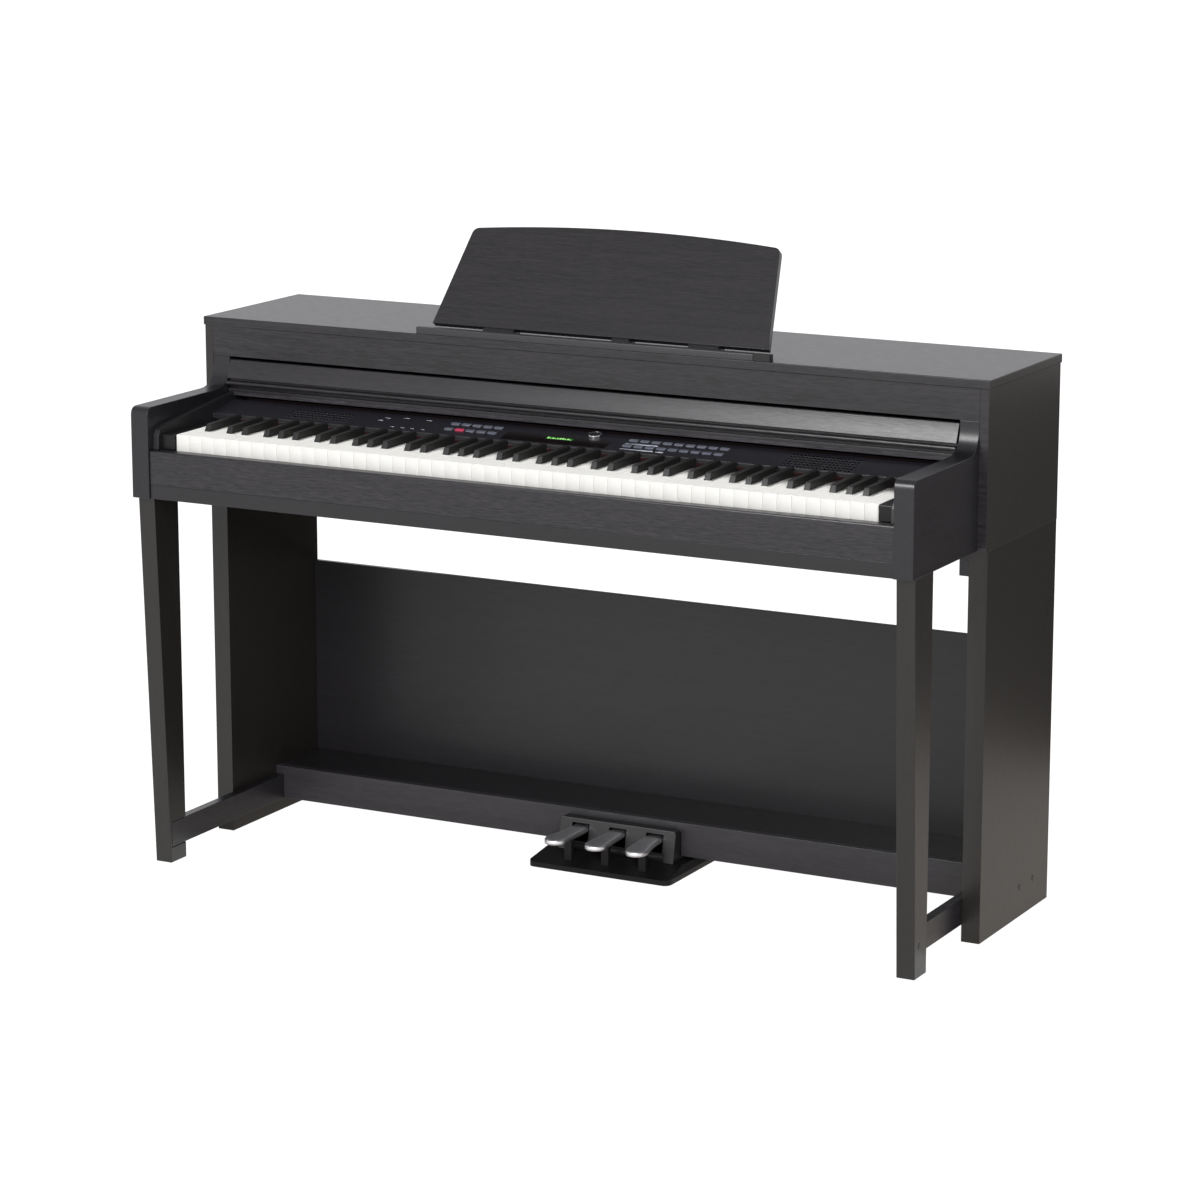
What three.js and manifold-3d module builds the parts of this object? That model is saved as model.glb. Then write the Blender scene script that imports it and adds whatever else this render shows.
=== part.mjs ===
// Digital piano on its stand: 88 sprung keys in a panelled case, a sliding key
// cover, a folding music desk, a three-pedal unit and the stand that carries it.
// Millimetres. X runs to the player's right, Y backwards and Z up from the floor.
// Pieces are drawn with Y measured from the front of the cheeks, and the whole
// piano is then moved so that Y = 0 lies midway between its front and its back.
import * as THREE from 'three';
import { mergeVertices } from 'three/addons/utils/BufferGeometryUtils.js';
import Module from 'manifold-3d';

const wasm = await Module();
wasm.setup();

// ---------- driving sizes ----------

// Across the piano, from the keys outwards.
const keyPitch = 23.5;
const whiteKeyCount = 52;
const keyGap = 1;
const keyEndGap = 0.8;
const keyBlockWidth = 24.2;
const liningWidth = 10;
const cheekWidth = 32;
const claddingThickness = 14.5;
const lidOverhang = 2;
const fitGap = 0.3;

const keysHalf = (keyPitch * whiteKeyCount) / 2;
const blockInner = keysHalf + keyEndGap;
const liningInner = blockInner + keyBlockWidth;
const cheekInner = liningInner + liningWidth;
const cheekOuter = cheekInner + cheekWidth;
const caseOuter = cheekOuter + claddingThickness;
const lidHalf = caseOuter + lidOverhang;

// Front to back.
const caseFront = 241;
const caseBack = 529;
const lidBackOverhang = 1.5;
const frontPanelThickness = 15;
const backPanelThickness = 15;
const backPanelFront = caseBack - backPanelThickness;
const lidBack = caseBack + lidBackOverhang;

// Up from the floor.
const standHeight = 614;
const keybedThickness = 23.5;
const keybedTop = standHeight + keybedThickness;
const keySlipHeight = 54.5;
const keySlipTop = keybedTop + keySlipHeight;
const keyProud = 26;
const whiteTop = keySlipTop + keyProud;
const guideRise = 12;
const guideFrontZ = whiteTop + guideRise;
const armRise = 31.5;
const armTop = guideFrontZ + armRise;
const cheekShoulder = 8.5;
const coverOpening = 81;
const frontPanelBottom = guideFrontZ + coverOpening;
const frontPanelHeight = 49;
const lidBottom = frontPanelBottom + frontPanelHeight;
const lidThickness = 14;
const lidTop = lidBottom + lidThickness;

// ---------- geometry helpers ----------

// A closed outline. A corner may carry a third value, the radius it is rounded to.
function outline(corners) {
  const shape = new THREE.Shape();
  const at = (index) => new THREE.Vector2(...corners[(index + corners.length) % corners.length]);
  corners.forEach((corner, index) => {
    const here = at(index);
    const radius = corner[2] ?? 0;
    const before = at(index - 1).sub(here).normalize();
    const after = at(index + 1).sub(here).normalize();
    const reach = radius / Math.tan(Math.acos(before.dot(after)) / 2);
    const start = here.clone().addScaledVector(before, reach);
    if (index === 0) shape.moveTo(start.x, start.y);
    else shape.lineTo(start.x, start.y);
    if (radius > 0) {
      const end = here.clone().addScaledVector(after, reach);
      shape.quadraticCurveTo(here.x, here.y, end.x, end.y);
    }
  });
  return shape;
}

function extruded(shape, depth, arcSteps = 6) {
  return new THREE.ExtrudeGeometry(shape, { depth, bevelEnabled: false, curveSegments: arcSteps });
}

// A side view in (Y, Z), carried across from x0 to x1.
function acrossX(shape, x0, x1, arcSteps) {
  const geometry = extruded(shape, x1 - x0, arcSteps);
  const turn = new THREE.Matrix4().makeBasis(
    new THREE.Vector3(0, 1, 0),
    new THREE.Vector3(0, 0, 1),
    new THREE.Vector3(1, 0, 0),
  );
  return geometry.applyMatrix4(turn).translate(x0, 0, 0);
}

// A front view in (X, Z), carried back from y0 to y1.
function alongY(shape, y0, y1, arcSteps) {
  return extruded(shape, y1 - y0, arcSteps).rotateX(Math.PI / 2).translate(0, y1, 0);
}

// A plan in (X, Y), carried up from z0 to z1.
function upZ(shape, z0, z1, arcSteps) {
  return extruded(shape, z1 - z0, arcSteps).translate(0, 0, z0);
}

function box([x0, x1], [y0, y1], [z0, z1]) {
  const geometry = new THREE.BoxGeometry(x1 - x0, y1 - y0, z1 - z0);
  return geometry.translate((x0 + x1) / 2, (y0 + y1) / 2, (z0 + z1) / 2);
}

function turned(profile, sides) {
  const points = profile.map(([radius, height]) => new THREE.Vector2(radius, height));
  return new THREE.LatheGeometry(points, sides).rotateX(Math.PI / 2);
}

// The range from inner to outer on one side of the piano, with its ends in order.
function sideRange(side, inner, outer) {
  return side > 0 ? [inner, outer] : [-outer, -inner];
}

function solid(geometry) {
  const bare = geometry.clone();
  bare.deleteAttribute('normal');
  bare.deleteAttribute('uv');
  const welded = mergeVertices(bare, 1e-4);
  const mesh = new wasm.Mesh({
    numProp: 3,
    vertProperties: new Float32Array(welded.attributes.position.array),
    triVerts: new Uint32Array(welded.index.array),
  });
  return new wasm.Manifold(mesh);
}

function surface(manifold) {
  const mesh = manifold.getMesh();
  const geometry = new THREE.BufferGeometry();
  geometry.setAttribute('position', new THREE.BufferAttribute(mesh.vertProperties, 3));
  geometry.setIndex(new THREE.BufferAttribute(mesh.triVerts, 1));
  geometry.computeVertexNormals();
  return geometry;
}

function joined(geometries) {
  return surface(geometries.map(solid).reduce((whole, piece) => whole.add(piece)));
}

function cut(geometry, cutters) {
  return surface(cutters.map(solid).reduce((whole, cutter) => whole.subtract(cutter), solid(geometry)));
}

// ---------- materials and the scene ----------

const finishes = {
  satinBlack: { color: 0x1d1c1f, roughness: 0.42, metalness: 0 },
  grainedBlack: { color: 0x242326, roughness: 0.55, metalness: 0 },
  mouldedBlack: { color: 0x19191b, roughness: 0.5, metalness: 0 },
  glossBlack: { color: 0x0d0d0e, roughness: 0.12, metalness: 0 },
  ivoryWhite: { color: 0xf4f3ef, roughness: 0.3, metalness: 0 },
  sharpBlack: { color: 0x111112, roughness: 0.35, metalness: 0 },
  pedalMetal: { color: 0xb9b6ae, roughness: 0.25, metalness: 1 },
  buttonGrey: { color: 0xd8dadd, roughness: 0.4, metalness: 0 },
  rawBoard: { color: 0x3a3027, roughness: 0.8, metalness: 0 },
  circuit: { color: 0x23402c, roughness: 0.6, metalness: 0 },
};

const piano = new THREE.Group();
piano.position.y = -lidBack / 2;

function add(name, geometry, finish, parent = piano) {
  const material = new THREE.MeshStandardMaterial(finishes[finish]);
  const mesh = new THREE.Mesh(geometry, material);
  mesh.name = name;
  parent.add(mesh);
  return mesh;
}

function groupAt(y, z, tilt = 0) {
  const group = new THREE.Group();
  group.position.set(0, y, z);
  group.rotation.x = tilt;
  piano.add(group);
  return group;
}

const sides = [['left', -1], ['right', 1]];

// ---------- case: cladding, cheeks, front, back and top boards ----------

const cheekNoseRadius = 15;
const cheekFilletRadius = frontPanelBottom - armTop - cheekShoulder;

function cheekOutline() {
  const shape = new THREE.Shape();
  shape.moveTo(0, standHeight);
  shape.lineTo(backPanelFront, standHeight);
  shape.lineTo(backPanelFront, frontPanelBottom);
  shape.lineTo(caseFront, frontPanelBottom);
  const [filletY, filletZ] = [caseFront - cheekFilletRadius, armTop + cheekFilletRadius];
  shape.absarc(filletY, filletZ, cheekFilletRadius, 0, -Math.PI / 2, true);
  shape.absarc(cheekNoseRadius, armTop - cheekNoseRadius, cheekNoseRadius, Math.PI / 2, Math.PI, false);
  return shape;
}

function buildCase() {
  const lid = box([-lidHalf, lidHalf], [caseFront - lidOverhang, lidBack], [lidBottom, lidTop]);
  add('top_board', lid, 'satinBlack');
  for (const [label, side] of sides) {
    const claddingX = sideRange(side, cheekOuter, caseOuter);
    add(`case_side_${label}`, box(claddingX, [caseFront, caseBack], [standHeight, lidBottom]), 'satinBlack');
    const cheekX = sideRange(side, cheekInner, cheekOuter);
    add(`cheek_${label}`, acrossX(cheekOutline(), ...cheekX, 8), 'satinBlack');
  }
  const inside = [-(cheekOuter - fitGap), cheekOuter - fitGap];
  const frontBoard = box(inside, [caseFront, caseFront + frontPanelThickness], [frontPanelBottom, lidBottom]);
  add('front_panel', frontBoard, 'satinBlack');
  const backBoard = box(inside, [backPanelFront, caseBack], [standHeight, lidBottom]);
  add('back_panel', cut(backBoard, [inletHole(fitGap, 1)]), 'rawBoard');
}

// ---------- keybed, key slip and the mouldings at the ends of the keys ----------

const keybedFront = 3.4;
const keySlipThickness = 20;
const keySlipBack = keybedFront + keySlipThickness;
const keybedHalf = cheekInner - fitGap;

const speakerX = 445;
const speakerY = 392;
const speakerConeRadius = 52;
const speakerRimRadius = 60;
const speakerDepth = 46;
const speakerRimThickness = 3;
const speakerMagnetRadius = 33;
const speakerDomeRadius = 21;
const speakerConeDepth = 8;

function buildKeybed() {
  const board = box([-keybedHalf, keybedHalf], [keybedFront, backPanelFront], [standHeight, keybedTop]);
  const soundHoles = sides.map(([, side]) => {
    const hole = new THREE.CylinderGeometry(speakerConeRadius, speakerConeRadius, keybedThickness * 2, 32);
    return hole.rotateX(Math.PI / 2).translate(side * speakerX, speakerY, standHeight + keybedThickness / 2);
  });
  add('keybed', cut(board, soundHoles), 'satinBlack');
  const slip = outline([
    [keybedFront, keybedTop],
    [keySlipBack, keybedTop],
    [keySlipBack, keySlipTop, 1],
    [keybedFront, keySlipTop, 2.5],
  ]);
  add('key_slip', acrossX(slip, -keybedHalf, keybedHalf, 3), 'grainedBlack');
}

// The cover runs on the top edge of the lining, a straight line that climbs
// backwards and drops in a bend over the front of the keys.
const coverSlope = THREE.MathUtils.degToRad(6.8);
const guideFront = 39;
const guideBackGap = 14;
const guideBack = backPanelFront - guideBackGap;
const guideBendRun = 7;
const guideBendDrop = 5;
const guideToeRun = 1.3;
const guideToeDrop = 15;
const guideBendRadius = 6;
const liningFront = 14;
const keyBlockFront = 24;
const keyBlockDrop = 1;
const keyBlockTop = whiteTop - keyBlockDrop;
const keyBlockRound = 1.5;

function guideZ(y) {
  return guideFrontZ + Math.tan(coverSlope) * (y - guideFront);
}

// ---------- control panel ----------

const panelSetForward = 69;
const panelFront = caseFront - panelSetForward;
const panelDepth = 65;
const panelKeyGap = 2;
const panelLipBottom = whiteTop + panelKeyGap;
const panelLipHeight = 8.5;
const panelSheet = 2.5;
const panelRearFlange = 12;
const panelFrontRound = 1.5;
const panelRearRound = 0.8;
const panelSlope = THREE.MathUtils.degToRad(11.3);
const panelBack = panelFront + panelDepth;
const panelFrontZ = panelLipBottom + panelLipHeight;
const panelHalf = liningInner - fitGap;

function panelTopZ(y) {
  return panelFrontZ + Math.tan(panelSlope) * (y - panelFront);
}

function panelUnderZ(y) {
  return panelTopZ(y) - panelSheet / Math.cos(panelSlope);
}

function buildGuides() {
  const lining = outline([
    [keyBlockFront, keybedTop],
    [keyBlockFront, keySlipTop + fitGap],
    [liningFront, keySlipTop + fitGap],
    [liningFront + guideToeRun, guideFrontZ - guideToeDrop, guideBendRadius],
    [liningFront + guideBendRun, guideFrontZ - guideBendDrop, guideBendRadius],
    [guideFront, guideFrontZ],
    [guideBack, guideZ(guideBack)],
    [guideBack, keybedTop],
  ]);
  const seatFront = panelFront + panelSheet + fitGap;
  const seatBack = panelBack - panelSheet - fitGap;
  const keyBlock = outline([
    [keyBlockFront, keySlipTop + fitGap],
    [seatBack, keySlipTop + fitGap],
    [seatBack, panelUnderZ(seatBack) - fitGap],
    [seatFront, panelUnderZ(seatFront) - fitGap],
    [seatFront, keyBlockTop],
    [keyBlockFront, keyBlockTop, keyBlockRound],
  ]);
  for (const [label, side] of sides) {
    const liningSolid = acrossX(lining, ...sideRange(side, liningInner, cheekInner), 4);
    const blockSolid = acrossX(keyBlock, ...sideRange(side, blockInner, liningInner + 1), 3);
    add(`cover_guide_${label}`, joined([liningSolid, blockSolid]), 'mouldedBlack');
  }
}

// Controls are placed on the slope: x across, s up the slope from its front edge.
const buttonPitch = 19.6;
const buttonWidth = 13;
const buttonDepth = 5.4;
const buttonProud = 1.6;
const buttonStripThickness = 2;
const buttonStripMargin = 1;
const frontRowS = 22;
const backRowS = 45;
const leftClusterX = -205;
const leftClusterCount = 5;
const rightClusterX = 113;
const rightClusterCount = 9;
const buttonRows = [
  ['buttons_left_back', leftClusterX, leftClusterCount, backRowS],
  ['buttons_left_front', leftClusterX, leftClusterCount, frontRowS],
  ['buttons_right_back', rightClusterX, rightClusterCount, backRowS],
  ['buttons_right_front', rightClusterX, rightClusterCount, frontRowS],
];
const windowLeft = -104;
const windowRight = 80;
const windowFrontS = 5;
const windowBackS = 38;
const dialX = 42;
const dialS = 52;
const dialRadius = 10.5;
const dialHeight = 6;
const dialChamfer = 1.5;
const dialShaftRadius = 3;
const dialShaftLength = 6;

function capAt(x, s, spare, z0, z1) {
  const halfWidth = buttonWidth / 2 + spare;
  const halfDepth = buttonDepth / 2 + spare;
  return box([x - halfWidth, x + halfWidth], [s - halfDepth, s + halfDepth], [z0, z1]);
}

function capCentres(firstX, count) {
  return Array.from({ length: count }, (unused, index) => firstX + index * buttonPitch);
}

function onSlope(geometry) {
  return geometry.rotateX(panelSlope).translate(0, panelFront, panelFrontZ);
}

function buildControlPanel() {
  const profile = outline([
    [panelFront, panelLipBottom],
    [panelFront + panelSheet, panelLipBottom],
    [panelFront + panelSheet, panelUnderZ(panelFront + panelSheet)],
    [panelBack - panelSheet, panelUnderZ(panelBack - panelSheet)],
    [panelBack - panelSheet, panelTopZ(panelBack) - panelRearFlange],
    [panelBack, panelTopZ(panelBack) - panelRearFlange],
    [panelBack, panelTopZ(panelBack), panelRearRound],
    [panelFront, panelFrontZ, panelFrontRound],
  ]);
  const through = [-panelSheet * 2, panelSheet];
  const holes = buttonRows.flatMap(([, firstX, count, s]) =>
    capCentres(firstX, count).map((x) => onSlope(capAt(x, s, fitGap, ...through))));
  const windowHole = box(
    [windowLeft - fitGap, windowRight + fitGap],
    [windowFrontS - fitGap, windowBackS + fitGap],
    through,
  );
  const shaftHoleRadius = dialShaftRadius + fitGap;
  const shaftHole = new THREE.CylinderGeometry(shaftHoleRadius, shaftHoleRadius, panelSheet * 4, 24);
  shaftHole.rotateX(Math.PI / 2).translate(dialX, dialS, 0);
  const cutters = [...holes, onSlope(windowHole), onSlope(shaftHole)];
  add('control_panel', cut(acrossX(profile, -panelHalf, panelHalf, 3), cutters), 'mouldedBlack');

  const onPanel = groupAt(panelFront, panelFrontZ, panelSlope);
  for (const [name, firstX, count, s] of buttonRows) {
    const centres = capCentres(firstX, count);
    const stripTop = -panelSheet - fitGap;
    const margin = buttonStripMargin;
    const strip = box(
      [centres[0] - buttonWidth / 2 - margin, centres[count - 1] + buttonWidth / 2 + margin],
      [s - buttonDepth / 2 - margin, s + buttonDepth / 2 + margin],
      [stripTop - buttonStripThickness, stripTop],
    );
    const caps = centres.map((x) => capAt(x, s, 0, stripTop - 1, buttonProud));
    add(name, joined([strip, ...caps]), 'buttonGrey', onPanel);
  }
  const window = box([windowLeft, windowRight], [windowFrontS, windowBackS], [-panelSheet, 0]);
  add('display_window', window, 'glossBlack', onPanel);
  const dial = add('dial', turned([
    [0, -dialShaftLength],
    [dialShaftRadius, -dialShaftLength],
    [dialShaftRadius, fitGap],
    [dialRadius, fitGap],
    [dialRadius, dialHeight - dialChamfer],
    [dialRadius - dialChamfer, dialHeight],
    [0, dialHeight],
  ], 36), 'mouldedBlack', onPanel);
  dial.position.set(dialX, dialS, 0);
}

// ---------- sliding key cover ----------

const coverGap = 0.4;
const coverSideGap = 1;
const coverFaceSetback = 0.5;
const coverSlotHeight = 7.4;
const coverFaceDrop = 29.1;
const coverFaceLean = 11.2;
const coverFaceRound = 1.5;
const coverLipProud = 3.8;
const coverLipHeight = 7;
const coverLipRound = 1;
const coverLipStep = 1.5;
const coverLipUndercut = 2;
const coverGrooveDepth = 1.6;
const coverGrooveHeight = 0.4;
const coverApronSetForward = 6.5;
const coverApronFront = caseFront - coverApronSetForward;
const coverApronThickness = 11.5;
const coverApronSideGap = 0.5;
const coverApronRise = 18;
const coverApronBottom = guideFrontZ + coverApronRise;
const coverBarDepth = 9;
const coverBoardFront = caseFront + coverBarDepth;
const coverBoardDepth = 196;
const coverBoardBack = coverBoardFront + coverBoardDepth;
const coverBoardThickness = 6;

function buildCover() {
  const faceTop = frontPanelBottom - coverSlotHeight;
  const faceBottom = faceTop - coverFaceDrop;
  const faceTopY = caseFront + coverFaceSetback;
  const faceBottomY = faceTopY - coverFaceLean;
  const lipY = faceBottomY - coverLipProud;
  const lipTop = faceBottom - coverLipStep;
  const lipBottom = lipTop - coverLipHeight;
  const under = (y) => guideZ(y) + coverGap;
  const profile = outline([
    [coverApronFront, under(coverApronFront)],
    [coverBoardBack, under(coverBoardBack)],
    [coverBoardBack, under(coverBoardBack) + coverBoardThickness],
    [coverBoardFront, under(coverBoardFront) + coverBoardThickness],
    [coverBoardFront, faceTop],
    [faceTopY, faceTop, coverFaceRound],
    [faceBottomY, faceBottom],
    [faceBottomY + coverGrooveDepth, lipTop + coverGrooveHeight],
    [lipY, lipTop, coverLipRound],
    [lipY, lipBottom, coverLipRound],
    [coverApronFront, lipBottom - coverLipUndercut],
  ]);
  const half = cheekInner - coverSideGap;
  const bar = acrossX(profile, -half, half, 3);
  const apronHalf = liningInner - coverApronSideGap;
  const apronBack = coverApronFront + coverApronThickness;
  const apronTop = under(coverApronFront) + coverBoardThickness / 2;
  const apron = box([-apronHalf, apronHalf], [coverApronFront, apronBack], [coverApronBottom, apronTop]);
  add('fallboard', joined([bar, apron]), 'satinBlack');
}

// ---------- music desk, its hinge blocks and the ledge in front of it ----------

const deskX = 7;
const deskLean = THREE.MathUtils.degToRad(33);
const deskHalf = 298;
const deskSideSlope = 0.148;
const deskHeight = 185.5;
const deskArchRadius = 2820;
const deskThickness = 12;
const deskCornerRadius = 13;
const deskSetback = 63;
const deskHingeRise = 5;
const deskEdgeReach = 12;
const deskHingeY = caseFront + deskSetback;
const deskHingeZ = lidTop + deskHingeRise;
const deskBarrelRadius = 3.2;
const deskBlockGap = 0.6;
const deskBlockReach = 17;
const deskBlockFront = deskHingeY - deskBlockReach;
const deskBlockNose = 8.2;
const deskBlockTail = 6;
const deskBlockBack = deskHingeY + deskBlockTail;
const leftHingeInset = 96;
const leftHingeLength = 55;
const middleHingeShift = 29;
const middleHingeLength = 30;
const rightHingeInset = 83;
const rightHingeLength = 52;
const deskLeft = deskX - deskHalf;
const deskRight = deskX + deskHalf;
const deskHinges = [
  ['left', deskLeft + leftHingeInset, deskLeft + leftHingeInset + leftHingeLength],
  ['middle', deskX + middleHingeShift, deskX + middleHingeShift + middleHingeLength],
  ['right', deskRight - rightHingeInset - rightHingeLength, deskRight - rightHingeInset],
];
const ledgeInset = 1;
const ledgeOverrun = 28;
const ledgeLeft = deskLeft + ledgeInset;
const ledgeRight = deskRight + ledgeOverrun;
const ledgeDepth = 13;
const ledgeHeight = 11;

// A (Y, Z) place given along the leaning desk: forward of its axis and up its slant.
function deskPlace(back, up) {
  return [
    deskHingeY + back * Math.cos(deskLean) + up * Math.sin(deskLean),
    deskHingeZ - back * Math.sin(deskLean) + up * Math.cos(deskLean),
  ];
}

const deskEdge = new THREE.Vector2(-deskEdgeReach, deskHingeRise);
const deskFront = deskEdge.x * Math.cos(deskLean) - deskEdge.y * Math.sin(deskLean);
const deskFoot = deskEdge.x * Math.sin(deskLean) + deskEdge.y * Math.cos(deskLean);

function deskOutline() {
  const archDrop = (x) => deskArchRadius - Math.sqrt(deskArchRadius ** 2 - x ** 2);
  const topHalf = deskHalf - deskSideSlope * (deskHeight - archDrop(deskHalf));
  const archSteps = 14;
  const corners = [[-deskHalf, deskFoot, 1], [deskHalf, deskFoot, 1]];
  for (let step = 0; step <= archSteps; step += 1) {
    const x = topHalf * (1 - (2 * step) / archSteps);
    const isCorner = step === 0 || step === archSteps;
    corners.push([x, deskFoot + deskHeight - archDrop(x), isCorner ? deskCornerRadius : 0]);
  }
  return outline(corners);
}

function buildDesk() {
  const leaning = groupAt(deskHingeY, deskHingeZ, -deskLean);
  const board = alongY(deskOutline(), deskFront, deskFront + deskThickness, 5).translate(deskX, 0, 0);
  const barrels = deskHinges.map(([, x0, x1]) => {
    const length = x1 - x0 - 2 * deskBlockGap;
    const barrel = new THREE.CylinderGeometry(deskBarrelRadius, deskBarrelRadius, length, 20);
    return barrel.rotateZ(Math.PI / 2).translate((x0 + x1) / 2, 0, 0);
  });
  add('music_desk', joined([board, ...barrels]), 'satinBlack', leaning);

  const grooveRadius = deskBarrelRadius + fitGap;
  const noseTop = lidTop + deskBlockNose;
  const seatBack = deskFoot - deskBlockGap;
  const seatStart = deskPlace(deskFront, seatBack);
  const grooveMouth = deskPlace(-Math.sqrt(grooveRadius ** 2 - seatBack ** 2), seatBack);
  const mouthAngle = Math.atan2(grooveMouth[1] - deskHingeZ, grooveMouth[0] - deskHingeY);
  const cradle = new THREE.Shape();
  cradle.moveTo(deskBlockFront, lidTop);
  cradle.lineTo(deskBlockFront, noseTop);
  cradle.lineTo(...seatStart);
  cradle.lineTo(...grooveMouth);
  cradle.absarc(deskHingeY, deskHingeZ, grooveRadius, mouthAngle, 0, false);
  cradle.lineTo(deskBlockBack, deskHingeZ);
  cradle.lineTo(deskBlockBack, lidTop);
  for (const [label, x0, x1] of deskHinges) {
    add(`desk_hinge_${label}`, acrossX(cradle, x0, x1, 12), 'mouldedBlack');
  }
  const ledgeFront = caseFront - lidOverhang;
  const ledge = outline([
    [ledgeFront, lidTop],
    [ledgeFront + ledgeDepth, lidTop],
    [ledgeFront + ledgeDepth, lidTop + ledgeHeight, 1],
    [ledgeFront, lidTop + ledgeHeight, 2],
  ]);
  add('desk_ledge', acrossX(ledge, ledgeLeft, ledgeRight, 3), 'mouldedBlack');
}

// ---------- keys and the frame they are hinged on ----------

const keyFront = 28.5;
const keyCornerRound = 1.2;
const keyBack = 300;
const keyWebFront = 285;
const whiteKeyHeight = 28;
const whiteBottom = whiteTop - whiteKeyHeight;
const sharpWidth = 10;
const sharpGap = 0.9;
const sharpFront = 78.5;
const sharpFrontGap = 1.5;
const sharpToeRun = 1.5;
const sharpBrowRun = 6.5;
const sharpBrowRadius = 4;
const sharpBackDrop = 1;
const sharpNeckDrop = 1;
const sharpBottomRise = 4;
const sharpBottom = whiteBottom + sharpBottomRise;
const sharpRise = 10;
const sharpHeadGap = 2;
const sharpHeadBack = panelFront - sharpHeadGap;
const sharpStemBack = 283.5;
const sharpWebFront = 280;
const sharpWebHeight = 6;
const middleOctaveStart = 23;
const middleOctaveKeys = 7;
const keyFrameFront = 36;
const keyFrameBack = 304;
const keyRailThickness = 12;
const keyFrameBase = 4;
const keyRestRailDrop = 10.5;
const keyRestRailTop = whiteBottom - keyRestRailDrop;

// Where a sharp sits against the gap on the right of each white key, C to B.
const sharpShifts = [-2.4, 2.4, null, -3.4, 0, 3.4, null];
const whiteNames = ['c4', 'd4', 'e4', 'f4', 'g4', 'a4', 'b4'];
const sharpNames = ['c_sharp4', 'd_sharp4', null, 'f_sharp4', 'g_sharp4', 'a_sharp4', null];

// The keyboard starts on an A, five letters after C.
function letterOf(index) {
  return (index + 5) % sharpShifts.length;
}

function keyEdge(index) {
  return index * keyPitch - keysHalf;
}

// The centre of the sharp on the right of a white key, or null where there is none.
function sharpCentre(index) {
  if (index < 0 || index >= whiteKeyCount - 1) return null;
  const shift = sharpShifts[letterOf(index)];
  return shift === null ? null : keyEdge(index + 1) + shift;
}

function whiteKey(index) {
  const left = keyEdge(index) + keyGap / 2;
  const right = keyEdge(index + 1) - keyGap / 2;
  const leftSharp = sharpCentre(index - 1);
  const rightSharp = sharpCentre(index);
  const clear = sharpWidth / 2 + sharpGap;
  const shoulder = sharpFront - sharpFrontGap;
  const corners = [[left, keyFront, keyCornerRound], [right, keyFront, keyCornerRound]];
  if (rightSharp !== null) {
    corners.push([right, shoulder], [rightSharp - clear, shoulder]);
    corners.push([rightSharp - clear, keyWebFront], [right, keyWebFront]);
  }
  corners.push([right, keyBack], [left, keyBack]);
  if (leftSharp !== null) {
    corners.push([left, keyWebFront], [leftSharp + clear, keyWebFront]);
    corners.push([leftSharp + clear, shoulder], [left, shoulder]);
  }
  return upZ(outline(corners), whiteBottom, whiteTop, 2);
}

function sharpKey(index) {
  const centre = sharpCentre(index);
  const webBottom = whiteTop + fitGap;
  const webTop = webBottom + sharpWebHeight;
  const stemTop = whiteTop - sharpNeckDrop;
  const profile = outline([
    [sharpFront + sharpToeRun, sharpBottom],
    [sharpFront, stemTop],
    [sharpFront + sharpBrowRun, whiteTop + sharpRise, sharpBrowRadius],
    [sharpHeadBack, whiteTop + sharpRise - sharpBackDrop],
    [sharpHeadBack, stemTop],
    [sharpWebFront, stemTop],
    [sharpWebFront, webTop],
    [keyBack, webTop],
    [keyBack, webBottom],
    [sharpStemBack, webBottom],
    [sharpStemBack, sharpBottom],
  ]);
  return acrossX(profile, centre - sharpWidth / 2, centre + sharpWidth / 2, 4);
}

// White keys moulded as one comb, joined by the web behind them.
function whiteComb(first, last) {
  const webRange = [keyEdge(first) + keyGap / 2, keyEdge(last + 1) - keyGap / 2];
  const web = box(webRange, [keyWebFront, keyBack], [whiteBottom, whiteTop]);
  const keys = [];
  for (let index = first; index <= last; index += 1) keys.push(whiteKey(index));
  return joined([web, ...keys]);
}

function sharpComb(first, last) {
  const centres = [];
  const keys = [];
  for (let index = first; index <= last; index += 1) {
    if (sharpCentre(index) === null) continue;
    centres.push(sharpCentre(index));
    keys.push(sharpKey(index));
  }
  const webBottom = whiteTop + fitGap;
  const web = box(
    [centres[0] - sharpWidth / 2, centres[centres.length - 1] + sharpWidth / 2],
    [sharpStemBack, keyBack],
    [webBottom, webBottom + sharpWebHeight],
  );
  return joined([web, ...keys]);
}

function buildKeys() {
  const afterMiddle = middleOctaveStart + middleOctaveKeys;
  add('white_keys_low', whiteComb(0, middleOctaveStart - 1), 'ivoryWhite');
  add('black_keys_low', sharpComb(0, middleOctaveStart - 1), 'sharpBlack');
  for (let step = 0; step < middleOctaveKeys; step += 1) {
    const index = middleOctaveStart + step;
    add(`key_${whiteNames[step]}`, whiteKey(index), 'ivoryWhite');
    if (sharpCentre(index) !== null) add(`key_${sharpNames[step]}`, sharpKey(index), 'sharpBlack');
  }
  add('white_keys_high', whiteComb(afterMiddle, whiteKeyCount - 1), 'ivoryWhite');
  add('black_keys_high', sharpComb(afterMiddle, whiteKeyCount - 1), 'sharpBlack');

  const railFront = keyFrameBack - keyRailThickness;
  const restBack = keyFrameFront + keyRailThickness * 2;
  const floorTop = keybedTop + keyFrameBase;
  const profile = outline([
    [keyFrameFront, keybedTop],
    [keyFrameBack, keybedTop],
    [keyFrameBack, whiteBottom - fitGap],
    [railFront, whiteBottom - fitGap],
    [railFront, floorTop],
    [restBack, floorTop],
    [restBack, keyRestRailTop],
    [keyFrameFront, keyRestRailTop],
  ]);
  add('key_frame', acrossX(profile, -keysHalf, keysHalf), 'mouldedBlack');
}

// ---------- electronics and speakers behind the keys ----------

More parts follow.
